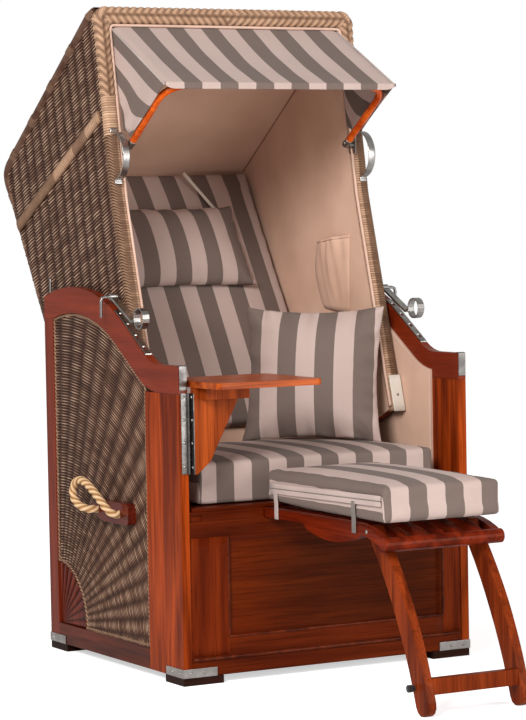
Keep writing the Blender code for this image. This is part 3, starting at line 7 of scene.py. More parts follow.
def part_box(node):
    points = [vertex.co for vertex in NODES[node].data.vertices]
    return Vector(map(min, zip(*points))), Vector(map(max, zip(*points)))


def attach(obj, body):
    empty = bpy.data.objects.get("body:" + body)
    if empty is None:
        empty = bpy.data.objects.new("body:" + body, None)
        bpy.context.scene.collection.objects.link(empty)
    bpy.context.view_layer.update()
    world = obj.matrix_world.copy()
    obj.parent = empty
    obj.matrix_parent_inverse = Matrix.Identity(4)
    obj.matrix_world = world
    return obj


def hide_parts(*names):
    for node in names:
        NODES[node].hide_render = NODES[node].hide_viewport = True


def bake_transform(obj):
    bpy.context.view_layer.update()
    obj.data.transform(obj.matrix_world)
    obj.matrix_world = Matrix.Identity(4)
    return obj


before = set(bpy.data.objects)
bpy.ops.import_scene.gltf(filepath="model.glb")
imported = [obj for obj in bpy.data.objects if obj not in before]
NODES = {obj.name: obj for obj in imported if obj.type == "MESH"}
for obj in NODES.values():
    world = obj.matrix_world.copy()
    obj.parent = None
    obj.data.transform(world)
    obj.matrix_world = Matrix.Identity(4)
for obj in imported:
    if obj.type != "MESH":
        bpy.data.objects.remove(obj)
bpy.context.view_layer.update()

# Base coordinates: y counts from the front of the posts, z from the floor, x from the middle.
FRONT_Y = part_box("left_post")[0][1]
SIDES = (("left", -1), ("right", 1))

# Camera, found from the photograph's edges.
CAMERA_PLACE = (-3.4044, -5.7715, 1.1172)
CAMERA_YAW = 0.5104
CAMERA_PITCH = 0.0541
CAMERA_ROLL = -0.0179
CAMERA_LENS = 139.68
CAMERA_SENSOR = 36.0

# Base sides.
OPENING_FRONT = 0.175
OPENING_BACK = 0.686
OPENING_LOW = 0.070
PANEL_FACE = 0.394
ARM_HEIGHT = 0.753
ARM_RAIL_HEIGHT = 0.066
SLOPE = math.radians(32.6)
SLOPE_FILLET = 0.120
ARCH_RADIUS = 0.512
ARCH_PEAK_Y = 0.567
ARCH_HEIGHT = 0.930
FAN_RADIUS = 0.158
FAN_FACE = 0.3783 + 0.014
FAN_RELIEF = 0.005
FAN_RAYS = 9

# Hood in the side view.
HOOD_HALF_WIDTH = 0.365
HOOD_INSIDE = 0.3357
FRONT_LOW = (0.232, 0.600)
FRONT_BEND = (0.385, 1.150)
FRONT_LEAN = math.radians(9.4)
ROOF_POINT = (0.502, 1.612)
ROOF_FALL = math.radians(35.4)
BACK_POINT = (0.821, 0.852)
BACK_LEAN = math.radians(31.7)
BACK_BOTTOM = 0.495
HOOD_CORNER = 0.050
RIM_DEPTH = 0.030
RIM_WIDTH = 0.036
RIM_TOP_HEIGHT = 0.050
RIM_PROUD = 0.004
RIM_OUTSIDE = 0.369
WALL_DEPTH = 0.0296
BAND_FALL = math.radians(28.5)
RIM_CROWN_Z = 1.6015
RIM_TOP_GROWTH = 0.0035

# Awning.
BOW_PIVOT = (0.408, 1.277)
BOW_LENGTH = 0.249
BOW_HALF_WIDTH = 0.310
BOW_RISE = math.radians(34.5)
COVER_CLEAR = 0.0126
COVER_HALF_WIDTH = 0.3244
COVER_THICK = 0.0018
COVER_SAG = 0.012
COVER_HEM = 0.016
COVER_ROOT_DROP = 0.002
GUSSET_RATIO = 0.84

# Steel hand rings on the rim.
RING_LOW = 1.195
RING_HIGH = 1.310
RING_REACH = 0.055
RING_TAB = 0.012
RING_X = 0.351

# Framing of the front board, in x and z.
FRAME_END = 0.3735
FRAME_TOP = 0.3470
STILE_LEFT = -0.2755
STILE_RIGHT = 0.3250
LOW_RAIL = (0.0660, 0.1080)
PLINTH = (0.0200, 0.0530)
FRAME_HALF_THICK = 0.0025
FRAME_FACE = 0.0010
PLINTH_FACE = 0.0002
PANEL_BEAD = 0.0034
PLINTH_BEAD = 0.0046
BEAD_Y = 0.0020

# Straps and zip of the footrest cushion.
PAD_SIDE = -0.1790
DECK_SIDE = -0.1776
STRAP_HEIGHTS = (0.458, 0.436, 0.421, 0.404, 0.385)
STRAPS = (("back", -0.0595, "webbing"), ("front", -0.4125, "webbing_dark"))
STRAP_HALVES = (0.0090, 0.0008)
ZIP_BACK = (-0.034, 0.457)
ZIP_FRONT = (-0.530, 0.466)
ZIP_TAPE_RISE = 0.0066
ZIP_TOOTH = 0.004

# Pins on the arches, and the knob on the left leg.
PIN_Y = 0.720
PIN_LOW = 0.893
PIN_HEIGHT = 0.056
KNOB_Y = -0.617
KNOB_Z = 0.060

# Rope handles: how far out from the block, y and z.
ROPE_RADIUS = 0.0095
ROPE_FACE = 0.4183
ROPE_ROUTE = [
    (0.000, 0.408, 0.387),
    (0.016, 0.408, 0.387),
    (0.029, 0.419, 0.389),
    (0.036, 0.440, 0.396),
    (0.038, 0.461, 0.410),
    (0.037, 0.469, 0.430),
    (0.036, 0.458, 0.449),
    (0.035, 0.431, 0.458),
    (0.034, 0.398, 0.452),
    (0.033, 0.362, 0.436),
    (0.031, 0.329, 0.416),
    (0.026, 0.303, 0.396),
    (0.014, 0.291, 0.384),
    (0.000, 0.291, 0.384),
]

# Weave and cloth.
STRIPE = 0.0485
HOOD_STRAND = 0.0082
PANEL_STRAND = 0.0072
STRAND_ROWS = 3
STRAND_SLIP = 0.9
STAKE_PITCH = 0.050
STRAND_SAMPLES = 6
AWNING_STRIPE = 0.0495
SWELL_PRESSURE = 4.0
SWELL_FRAMES = 20
FLOOR_LIFT = 0.56


def at(x, y, z):
    """World point of a base coordinate."""
    return Vector((x, y + FRONT_Y, z))


def srgb(red, green, blue):
    """Linear colour of an 8-bit sRGB one."""
    linear = []
    for channel in (red, green, blue):
        c = channel / 255
        linear.append(c / 12.92 if c <= 0.04045 else ((c + 0.055) / 1.055) ** 2.4)
    return (*linear, 1.0)


def chance(seed):
    """Repeatable number from 0 to 1."""
    return (math.sin(seed * 12.9898 + 4.1) * 43758.5453) % 1.0


class Shader:
    """A material with its node tree and a few shortcuts."""

    def __init__(self, name):
        self.material = bpy.data.materials.new(name)
        self.material.use_nodes = True
        self.tree = self.material.node_tree
        self.main = self.tree.nodes["Principled BSDF"]

    def add(self, kind, settings=None, inputs=None):
        node = self.tree.nodes.new(kind)
        for key, value in (settings or {}).items():
            setattr(node, key, value)
        for key, value in (inputs or {}).items():
            if hasattr(value, "is_output"):
                self.tree.links.new(value, node.inputs[key])
            else:
                node.inputs[key].default_value = value
        return node

    def set(self, key, value):
        if hasattr(value, "is_output"):
            self.tree.links.new(value, self.main.inputs[key])
        else:
            self.main.inputs[key].default_value = value

    def stretched(self, scale):
        """Object coordinates, scaled per axis."""
        place = self.add("ShaderNodeTexCoord")
        node = self.add("ShaderNodeMapping", None, {"Vector": place.outputs["Object"], "Scale": scale})
        return node.outputs["Vector"]

    def noise(self, scale, detail=4.0, vector=None, distortion=0.0):
        inputs = {"Scale": scale, "Detail": detail, "Distortion": distortion}
        if vector is None:
            vector = self.add("ShaderNodeTexCoord").outputs["Object"]
        inputs["Vector"] = vector
        return self.add("ShaderNodeTexNoise", None, inputs).outputs["Fac"]

    def ramp(self, factor, stops):
        node = self.add("ShaderNodeValToRGB", None, {"Fac": factor})
        elements = node.color_ramp.elements
        while len(elements) < len(stops):
            elements.new(0.5)
        for element, (place, colour) in zip(elements, stops):
            element.position = place
            element.color = colour
        return node.outputs["Color"]

    def attribute(self, name):
        node = self.add("ShaderNodeAttribute", {"attribute_name": name})
        return node.outputs["Fac"]

    def math(self, operation, first, second):
        node = self.add("ShaderNodeMath", {"operation": operation})
        for socket, value in zip(node.inputs, (first, second)):
            if hasattr(value, "is_output"):
                self.tree.links.new(value, socket)
            else:
                socket.default_value = value
        return node.outputs[0]

    def mix(self, factor, first, second, blend="MIX"):
        node = self.add("ShaderNodeMix", {"data_type": "RGBA", "blend_type": blend})
        for socket, value in zip((node.inputs[0], node.inputs[6], node.inputs[7]), (factor, first, second)):
            if hasattr(value, "is_output"):
                self.tree.links.new(value, socket)
            else:
                socket.default_value = value
        return node.outputs[2]

    def bump(self, height, strength, distance, normal=None):
        inputs = {"Height": height, "Strength": strength, "Distance": distance}
        if normal is not None:
            inputs["Normal"] = normal
        return self.add("ShaderNodeBump", None, inputs).outputs["Normal"]

    def soft_edges(self, radius):
        return self.add("ShaderNodeBevel", {"samples": 6}, {"Radius": radius}).outputs["Normal"]


def wood(name, deep, pale, axis, gloss=0.30, carved=False, varnish=0.02, shadow_patch=None, grain=0.70):
    """Stained and varnished wood with its grain along an axis; carved wood gets painted shade in its grooves,
    and a shadow patch, if given, paints a shadow over part of it.
    """
    shader = Shader(name)
    broad = [11.0, 11.0, 11.0]
    fine = [170.0, 170.0, 170.0]
    broad[axis] = 0.7
    fine[axis] = 3.5
    figure = shader.noise(3.0, 5.0, shader.stretched(broad), 0.6)
    pores = shader.noise(2.0, 3.0, shader.stretched(fine))
    middle = tuple(0.5 * (a + b) for a, b in zip(deep, pale))
    body = shader.ramp(figure, [(0.34, deep), (0.50, middle), (0.66, pale)])
    streak = shader.ramp(pores, [(0.34, (0.46, 0.38, 0.32, 1.0)), (0.50, (1.0, 1.0, 1.0, 1.0))])
    colour = shader.mix(grain, body, streak, "MULTIPLY")
    if carved:
        # Painted shade: low tone between the fan's rays darkens the carved grooves.
        groove_shade_stops = [(0.1, (0.16, 0.11, 0.10, 1.0)), (0.9, (1.0, 1.0, 1.0, 1.0))]
        groove = shader.ramp(shader.attribute("tone"), groove_shade_stops)
        colour = shader.mix(1.0, colour, groove, "MULTIPLY")
    # Painted shadow: a darker, cooler spherical patch, as cast by the footrest over the middle of the board.
    if shadow_patch:
        centre, reach = shadow_patch
        inputs = {
            "Vector": shader.add("ShaderNodeTexCoord").outputs["Object"],
            "Location": tuple(-c / r for c, r in zip(centre, reach)),
            "Scale": tuple(1 / r for r in reach),
        }
        patch = shader.add("ShaderNodeMapping", None, inputs).outputs["Vector"]
        fade = shader.add("ShaderNodeTexGradient", {"gradient_type": "SPHERICAL"}, {"Vector": patch})
        painted_shadow_tint = shader.ramp(fade.outputs["Fac"], [(0.0, (1.0, 1.0, 1.0, 1.0)), (0.6, (0.45, 0.52, 0.60, 1.0))])
        colour = shader.mix(1.0, colour, painted_shadow_tint, "MULTIPLY")
    shader.set("Base Color", colour)
    sheen = shader.ramp(pores, [(0.3, (gloss + 0.18,) * 3 + (1.0,)), (0.7, (gloss,) * 3 + (1.0,))])
    shader.set("Roughness", sheen)
    shader.set("Coat Weight", varnish)
    shader.set("Specular IOR Level", 0.08)
    shader.set("Specular Tint", (1.0, 0.46, 0.24, 1.0))
    shader.set("Coat Roughness", 0.16)
    shader.set("Normal", shader.bump(pores, 0.25, 0.0006, shader.soft_edges(0.0022)))
    return shader.material


def steel_metal(name, low, high):
    """Brushed stainless steel with handling marks."""
    shader = Shader(name)
    marks = shader.noise(40.0, 5.0)
    grain = shader.noise(5.0, 2.0, shader.stretched((30.0, 30.0, 260.0)))
    shader.set("Base Color", shader.ramp(marks, [(0.3, low), (0.7, high)]))
    shader.set("Metallic", 1.0)
    shader.set("Roughness", shader.ramp(marks, [(0.3, (0.36,) * 3 + (1.0,)), (0.7, (0.22,) * 3 + (1.0,))]))
    shader.set("Normal", shader.bump(grain, 0.12, 0.0003, shader.soft_edges(0.0012)))
    return shader.material


def strand_material(name, stops, rough=0.5, coarse=30.0, lift=0.0):
    """Woven, braided or twisted strands: the tone of each point picks the colour; low tone is painted shade
    in the gaps and grooves, high tone painted highlight on the crests, with random variation between strands.
    """
    shader = Shader(name)
    tone = shader.attribute("tone")
    patches = shader.noise(coarse, 4.0)
    fibre = shader.noise(900.0, 2.0)
    uneven = shader.math("MULTIPLY", patches, 0.30)
    shifted = shader.math("ADD", tone, shader.math("SUBTRACT", uneven, 0.15 - lift))
    colour = shader.ramp(shifted, stops)
    wear = shader.ramp(fibre, [(0.3, (0.80, 0.78, 0.75, 1.0)), (0.6, (1.0, 1.0, 1.0, 1.0))])
    shader.set("Base Color", shader.mix(0.7, colour, wear, "MULTIPLY"))
    dull = [(0.3, (rough + 0.15,) * 3 + (1.0,)), (0.7, (rough,) * 3 + (1.0,))]
    shader.set("Roughness", shader.ramp(fibre, dull))
    shader.set("Specular IOR Level", 0.14)
    shader.set("Specular Tint", (1.0, 0.84, 0.72, 1.0))
    shader.set("Normal", shader.bump(fibre, 0.25, 0.0005))
    return shader.material


def striped_cloth(name):
    """Awning stripes that follow each piece's own stripe measure, with a woven surface."""
    shader = Shader(name)
    measure = shader.attribute("stripe")
    wobble = shader.math("MULTIPLY", shader.noise(180.0, 2.0), 0.0012)
    place = shader.math("FRACT", shader.math("DIVIDE", shader.math("ADD", measure, wobble), 2 * STRIPE), 0.0)
    dark = shader.math("GREATER_THAN", place, 0.5)
    stripes = shader.mix(dark, srgb(187, 165, 157), srgb(113, 98, 91))
    clouds = [(0.3, (0.93, 0.92, 0.91, 1.0)), (0.7, (1.0, 1.0, 1.0, 1.0))]
    cloudy = shader.ramp(shader.noise(9.0, 4.0), clouds)
    threads = shader.noise(1400.0, 2.0)
    slub = shader.ramp(threads, [(0.3, (0.86, 0.86, 0.86, 1.0)), (0.7, (1.0, 1.0, 1.0, 1.0))])
    shader.set("Base Color", shader.mix(0.8, shader.mix(0.8, stripes, cloudy, "MULTIPLY"), slub, "MULTIPLY"))
    shader.set("Roughness", shader.ramp(threads, [(0.3, (0.95,) * 3 + (1.0,)), (0.7, (0.8,) * 3 + (1.0,))]))
    shader.set("Sheen Weight", 0.06)
    shader.set("Specular IOR Level", 0.12)
    creases = shader.bump(shader.noise(26.0, 3.0), 0.18, 0.004)
    shader.set("Normal", shader.bump(threads, 0.3, 0.0006, creases))
    return shader.material


def plain_cloth(name, shade, light, crease=0.25):
    """One-colour cloth with soft creases and a woven surface."""
    shader = Shader(name)
    cloudy = shader.noise(6.0, 4.0)
    threads = shader.noise(1300.0, 2.0)
    body = shader.ramp(cloudy, [(0.32, shade), (0.68, light)])
    slub = shader.ramp(threads, [(0.3, (0.88, 0.87, 0.86, 1.0)), (0.7, (1.0, 1.0, 1.0, 1.0))])
    shader.set("Base Color", shader.mix(0.8, body, slub, "MULTIPLY"))
    shader.set("Roughness", shader.ramp(threads, [(0.3, (0.95,) * 3 + (1.0,)), (0.7, (0.82,) * 3 + (1.0,))]))
    shader.set("Sheen Weight", 0.12)
    shader.set("Specular IOR Level", 0.25)
    folds = shader.bump(shader.noise(11.0, 2.0), crease, 0.012)
    shader.set("Normal", shader.bump(threads, 0.3, 0.0006, folds))
    return shader.material


def make_materials():
    """Every finish by name."""
    deep = srgb(90, 26, 4)
    pale = srgb(160, 62, 14)
    # Strand colour stops: the darkest is painted shade for gaps and grooves, the palest painted highlight for
    # crests.
    wicker_stops = [
        (0.02, srgb(28, 11, 6)),
        (0.28, srgb(68, 42, 31)),
        (0.60, srgb(126, 96, 79)),
        (0.95, srgb(204, 173, 147)),
    ]
    braid_stops = [
        (0.02, srgb(52, 30, 19)),
        (0.35, srgb(124, 94, 74)),
        (0.66, srgb(180, 143, 116)),
        (0.98, srgb(226, 192, 162)),
    ]
    rope_stops = [
        (0.05, srgb(104, 68, 40)),
        (0.45, srgb(190, 145, 99)),
        (0.95, srgb(230, 198, 158)),
    ]
    return {
        "upright": wood("mahogany_upright", deep, pale, 2),
        "lengthwise": wood("mahogany_lengthwise", srgb(102, 30, 10), srgb(124, 42, 15), 1, 0.24, False, 0.22,
                           None, 0.25),
        # The rear stiles take a darker, duller copy of the upright mahogany: partly a duller stain, partly
        # painted shade.
        "stile": wood("mahogany_stile", srgb(96, 30, 13), srgb(126, 45, 20), 2, 0.24, False, 0.16,
                      None, 0.40),
        "low_rail": wood("mahogany_low_rail", srgb(58, 17, 6), srgb(98, 36, 14), 1, 0.24, False, 0.10),
        "crosswise": wood("mahogany_crosswise", srgb(70, 18, 3), srgb(100, 34, 7), 0),
        # The front board carries a painted shadow of the footrest over its middle.
        "board": wood("mahogany_front_board", srgb(82, 22, 3), srgb(112, 38, 7), 0, 0.30, False, 0.02,
                      (at(0.09, 0.0, 0.23), (0.44, 1.0, 0.24))),
        "front_stile": wood("mahogany_front_stile", srgb(84, 23, 4), srgb(118, 41, 10), 2),
        "leg": wood("mahogany_leg", srgb(82, 25, 6), srgb(134, 52, 17), 2),
        "deck": wood("mahogany_deck", srgb(70, 15, 4), srgb(118, 35, 11), 1, 0.24, False, 0.04),
        "table": wood("mahogany_table", srgb(116, 42, 13), srgb(180, 84, 31), 0, 0.26, False, 0.12),
        "bracket": wood("mahogany_table_bracket", srgb(98, 33, 9), srgb(164, 72, 24), 2),
        "dark": wood("dark_mahogany_block", srgb(52, 13, 7), srgb(98, 31, 17), 1, 0.14, False, 0.30),
        "fan": wood("dark_mahogany_carved", srgb(70, 19, 9), srgb(110, 37, 19), 2, 0.22, True),
        "foot": wood("foot_stained_black", srgb(24, 12, 9), srgb(48, 25, 19), 0, 0.4),
        "bow": wood("varnished_bow_wood", srgb(178, 60, 10), srgb(226, 100, 28), 0, 0.16, False, 0.25),
        "steel": steel_metal("steel_brushed", srgb(136, 132, 129), srgb(176, 172, 168)),
        # Darker copy of the brushed steel: painted shade standing in for dark reflections on the hinge and
        # post caps.
        "hinge": steel_metal("steel_darkened_for_reflection", srgb(80, 77, 75), srgb(124, 120, 117)),
        "wicker": strand_material("wicker_strands", wicker_stops, 0.42),
        "wicker_core": strand_material("wicker_under_weave", wicker_stops, 0.5, 160.0, 0.32),
        "braid": strand_material("braid_strands", braid_stops, 0.48),
        "rope": strand_material("rope_fibre_twisted", rope_stops, 0.7, 60.0),
        "stripes": striped_cloth("striped_awning_cloth"),
        "plate": plain_cloth("painted_plate", srgb(212, 202, 188), srgb(232, 224, 212), 0.02),
        "lining": plain_cloth("lining_cloth_beige", srgb(206, 166, 142), srgb(222, 184, 160)),
        "piping": plain_cloth("piping_cloth", srgb(200, 164, 144), srgb(218, 184, 165), 0.1),
        "webbing": plain_cloth("webbing_pale", srgb(164, 148, 141), srgb(184, 168, 161), 0.1),
        "tape": plain_cloth("zip_tape", srgb(174, 154, 147), srgb(190, 169, 162), 0.1),
        # Darker copy of the lining for the ceiling seams: painted shade in the inner corner.
        "seam": plain_cloth("lining_seam_painted_shade", srgb(148, 104, 84), srgb(166, 122, 101), 0.1),
        "webbing_dark": plain_cloth("webbing_dark", srgb(104, 96, 90), srgb(128, 118, 111), 0.1),
        "rubber": plain_cloth("rubber_dark", srgb(28, 24, 24), srgb(46, 40, 40), 0.1),
    }


def piece(name, points, faces, material, body, floats=None, smooth=True):
    """One mesh object that rides on a body."""
    mesh = bpy.data.meshes.new(name)
    mesh.from_pydata([tuple(p) for p in points], [], faces)
    for key, values in (floats or {}).items():
        layer = mesh.attributes.new(key, "FLOAT", "POINT")
        layer.data.foreach_set("value", values)
    mesh.polygons.foreach_set("use_smooth", [smooth] * len(mesh.polygons))
    mesh.materials.append(material)
    mesh.update()
    thing = bpy.data.objects.new(name, mesh)
    bpy.context.scene.collection.objects.link(thing)
    if body:
        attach(thing, body)
    return thing


def spaced(points, step):
    """The same line with even spacing."""
    total = sum((b - a).length for a, b in zip(points, points[1:]))
    count = max(2, round(total / step))
    spacing = total / count
    result = [points[0].copy()]
    walked = 0.0
    for a, b in zip(points, points[1:]):
        length = (b - a).length
        while len(result) < count and len(result) * spacing <= walked + length + 1e-9:
            result.append(a.lerp(b, (len(result) * spacing - walked) / max(length, 1e-9)))
        walked += length
    result.append(points[-1].copy())
    return result


def spline(points, per_span=10):
    """Smooth line through given points."""
    points = [Vector(p) for p in points]
    line = []
    for k in range(len(points) - 1):
        p0 = points[max(k - 1, 0)]
        p1 = points[k]
        p2 = points[k + 1]
        p3 = points[min(k + 2, len(points) - 1)]
        for i in range(per_span):
            t = i / per_span
            line.append(0.5 * (2 * p1 + (p2 - p0) * t + (2 * p0 - 5 * p1 + 4 * p2 - p3) * t * t
                               + (3 * p1 - p0 - 3 * p2 + p3) * t ** 3))
    line.append(points[-1])
    return line


def eased(corners, radius, steps=8):
    """A polyline with its corners rounded off."""
    corners = [Vector(p) for p in corners]
    line = [corners[0]]
    for before, corner, after in zip(corners, corners[1:], corners[2:]):
        reach = min(radius, 0.48 * (corner - before).length, 0.48 * (after - corner).length)
        start = corner + (before - corner).normalized() * reach
        end = corner + (after - corner).normalized() * reach
        for i in range(steps + 1):
            t = i / steps
            line.append(start.lerp(corner, t).lerp(corner.lerp(end, t), t))
    line.append(corners[-1])
    return line


def section(angle, power):
    """Point of a round to boxy ring."""
    c = math.cos(angle)
    s = math.sin(angle)
    return math.copysign(abs(c) ** power, c), math.copysign(abs(s) ** power, s)


def flat_relief(s, angle):
    """A tube without relief."""
    return 0.0, 0.6


def tube(name, path, halves, material, body, relief=flat_relief, ring=12, power=1.0, normal=None,
         stripe=None, build=True):
    """A line swept by a ring; halves gives its half sizes along the binormal and the normal at a length."""
    points = []
    tones = []
    faces = []
    tangent = (path[1] - path[0]).normalized()
    up = Vector(normal) if normal else tangent.orthogonal()
    walked = 0.0
    for k, centre in enumerate(path):
        ahead = path[min(k + 1, len(path) - 1)]
        behind = path[max(k - 1, 0)]
        tangent = (ahead - behind).normalized()
        up = (up - tangent * up.dot(tangent)).normalized()
        side = tangent.cross(up)
        if k:
            walked += (centre - path[k - 1]).length
        half_side, half_up = halves(walked) if callable(halves) else halves
        for i in range(ring):
            angle = 2 * math.pi * i / ring
            a, b = section(angle, power)
            height, tone = relief(walked, angle)
            out = (side * a + up * b).normalized()
            points.append(centre + side * (a * half_side) + up * (b * half_up) + out * height)
            tones.append(tone)
    for k in range(len(path) - 1):
        for i in range(ring):
            j = (i + 1) % ring
            faces.append((k * ring + i, k * ring + j, (k + 1) * ring + j, (k + 1) * ring + i))
    last = (len(path) - 1) * ring
    faces.append(tuple(reversed(range(ring))))
    faces.append(tuple(range(last, last + ring)))
    floats = {"tone": tones}
    if stripe is not None:
        floats["stripe"] = [stripe] * len(points)
    if not build:
        return points, faces, tones
    return piece(name, points, faces, material, body, floats)


def merged(name, parts, material, body):
    """Several meshes of one finish as one piece."""
    points = []
    faces = []
    tones = []
    for some_points, some_faces, some_tones in parts:
        start = len(points)
        points += some_points
        faces += [tuple(i + start for i in face) for face in some_faces]
        tones += some_tones
    return piece(name, points, faces, material, body, {"tone": tones})


def arm_z(y, drop):
    """Height of the arm's edge, lowered square to itself."""
    slope_top_y = ARCH_PEAK_Y - ARCH_RADIUS * math.sin(SLOPE)
    slope_top_z = ARCH_HEIGHT - ARCH_RADIUS + ARCH_RADIUS * math.cos(SLOPE)
    knee_y = slope_top_y - (slope_top_z - ARM_HEIGHT) / math.tan(SLOPE)
    fillet_y = knee_y - SLOPE_FILLET * math.tan(SLOPE / 2)
    radius = SLOPE_FILLET + drop
    arch = ARCH_RADIUS - drop
    fillet_end = fillet_y + radius * math.sin(SLOPE)
    arch_start = ARCH_PEAK_Y - arch * math.sin(SLOPE)
    if y <= fillet_y:
        return ARM_HEIGHT - drop
    if y < fillet_end:
        return ARM_HEIGHT + SLOPE_FILLET - math.sqrt(radius ** 2 - (y - fillet_y) ** 2)
    if y < arch_start:
        start = ARM_HEIGHT + SLOPE_FILLET - radius * math.cos(SLOPE)
        return start + (y - fillet_end) * math.tan(SLOPE)
    return ARCH_HEIGHT - ARCH_RADIUS + math.sqrt(max(arch ** 2 - (y - ARCH_PEAK_Y) ** 2, 0.0))


def front_edge_y(z):
    """Hood's front edge at a height."""
    if z < FRONT_BEND[1]:
        part = (z - FRONT_LOW[1]) / (FRONT_BEND[1] - FRONT_LOW[1])
        return FRONT_LOW[0] + (FRONT_BEND[0] - FRONT_LOW[0]) * part
    return FRONT_BEND[0] + (z - FRONT_BEND[1]) * math.tan(FRONT_LEAN)


def meet(point, direction, other_point, other_direction):
    """Where two lines of the side view cross."""
    p, d = Vector(point), Vector(direction)
    q, e = Vector(other_point), Vector(other_direction)
    step = ((q.x - p.x) * e.y - (q.y - p.y) * e.x) / (d.x * e.y - d.y * e.x)
    return p + d * step


def hood_lines(inset, setback):
    """Front, roof and back lines of the hood's side view, moved inward."""
    front = (Vector(FRONT_BEND) + Vector((setback, 0)), Vector((math.sin(FRONT_LEAN), math.cos(FRONT_LEAN))))
    roof_in = Vector((-math.sin(ROOF_FALL), -math.cos(ROOF_FALL)))
    back_in = Vector((-math.cos(BACK_LEAN), math.sin(BACK_LEAN)))
    roof = (Vector(ROOF_POINT) + roof_in * inset, Vector((math.cos(ROOF_FALL), -math.sin(ROOF_FALL))))
    back = (Vector(BACK_POINT) + back_in * inset, Vector((math.sin(BACK_LEAN), math.cos(BACK_LEAN))))
    return front, roof, back


def hood_back_profile(inset, setback, low):
    """Side-view line over the roof, round the corner and down the back."""
    front, roof, back = hood_lines(inset, setback)
    top = meet(*front, *roof)
    corner = meet(*roof, *back)
    heel = meet(*back, (0, low), (1, 0))
    return eased([top, corner, heel], HOOD_CORNER, 10)


def woven(name, columns, rows, spot, body, swing=0.0024):
    """Strands over and under stakes as one relief sheet, with painted shade in the gaps and under the stakes
    and painted highlight on the crests; spot gives point, outward normal and outside.
    """
    points = []
    tones = []
    outside = []
    for r in range(rows):
        strand, part = divmod(r, STRAND_ROWS)
        for c in range(columns):
            stake, along = divmod(c / STRAND_SAMPLES + 0.5, 1.0)
            shade = 0.72 + 0.44 * chance(strand * 1.7 + stake * 5.3 + columns)
            over = math.sin(math.pi * along)
            slip = STRAND_SLIP * (1 - 2 * along) + STRAND_ROWS / 2 * (stake % 2)
            place, out, off = spot(c, r + slip)
            # Tone paints the light: the valley row between strands is nearly black (painted shade), a strand
            # darkens where it dips under a stake and lightens where it passes over (painted highlight), and
            # the second crest row is dimmer to round the strand.
            height = 0.0006
            tone = 0.02
            if part:
                crest = 1.0 if part == 1 else 0.24
                height = 0.0006 + (0.0008 + swing * over) * crest ** 0.5
                tone = shade * (0.44 + 0.50 * over) * crest
            if r < 2:
                tone = 0.42
            if off:
                height = 0.0006
            points.append(place + out * height)
            tones.append(max(tone, 0.02))
            outside.append(off)
    faces = []
    for r in range(rows - 1):
        for c in range(columns - 1):
            k = r * columns + c
            corners = (k, k + 1, k + columns + 1, k + columns)
            if not all(outside[i] for i in corners):
                faces.append(corners)
    used = sorted({i for face in faces for i in face})
    index = {old: new for new, old in enumerate(used)}
    faces = [tuple(index[i] for i in face) for face in faces]
    kept = [points[i] for i in used]
    return piece(name, kept, faces, MATERIALS["wicker"], body, {"tone": [tones[i] for i in used]})


def set_camera():
    """Camera at the photograph's place."""
    data = bpy.data.cameras.new("camera")
    data.lens = CAMERA_LENS
    data.sensor_width = CAMERA_SENSOR
    camera = bpy.data.objects.new("camera", data)
    bpy.context.scene.collection.objects.link(camera)
    level = math.cos(CAMERA_PITCH)
    forward = Vector((math.sin(CAMERA_YAW) * level, math.cos(CAMERA_YAW) * level, -math.sin(CAMERA_PITCH)))
    right = Vector((math.cos(CAMERA_YAW), -math.sin(CAMERA_YAW), 0))
    up = right.cross(forward)
    across = right * math.cos(CAMERA_ROLL) + up * math.sin(CAMERA_ROLL)
    upward = up * math.cos(CAMERA_ROLL) - right * math.sin(CAMERA_ROLL)
    turn = Matrix((across, upward, -forward)).transposed().to_4x4()
    camera.matrix_world = Matrix.Translation(at(*CAMERA_PLACE)) @ turn
    bpy.context.scene.camera = camera


def area_light(name, place, target, size, power):
    """Large soft lamp."""
    data = bpy.data.lights.new(name, "AREA")
    data.shape = "DISK"
    data.size = size
    data.energy = power
    lamp = bpy.data.objects.new(name, data)
    lamp.location = place
    lamp.rotation_euler = (Vector(target) - Vector(place)).to_track_quat("-Z", "Y").to_euler()
    bpy.context.scene.collection.objects.link(lamp)


def set_light():
    """White surroundings, a soft key from the left and a weak fill."""
    scene = bpy.context.scene
    scene.view_settings.view_transform = "Standard"
    world = bpy.data.worlds.new("studio")
    scene.world = world
    world.use_nodes = True
    tree = world.node_tree
    tree.nodes.clear()
    path = tree.nodes.new("ShaderNodeLightPath")
    ambient = tree.nodes.new("ShaderNodeBackground")
    ambient.inputs["Color"].default_value = (1.0, 0.98, 0.96, 1.0)
    ambient.inputs["Strength"].default_value = 0.50
    white = tree.nodes.new("ShaderNodeBackground")
    white.inputs["Color"].default_value = (1.0, 1.0, 1.0, 1.0)
    white.inputs["Strength"].default_value = 1.0
    mix = tree.nodes.new("ShaderNodeMixShader")
    tree.links.new(path.outputs["Is Camera Ray"], mix.inputs[0])
    tree.links.new(ambient.outputs[0], mix.inputs[1])
    tree.links.new(white.outputs[0], mix.inputs[2])
    output = tree.nodes.new("ShaderNodeOutputWorld")
    tree.links.new(mix.outputs[0], output.inputs["Surface"])
    area_light("key", (-4.2, -3.6, 3.4), (0, 0.2, 0.8), 2.2, 330.0)
    area_light("fill", (2.2, -4.8, 1.4), (0, 0.1, 1.0), 2.6, 110.0)


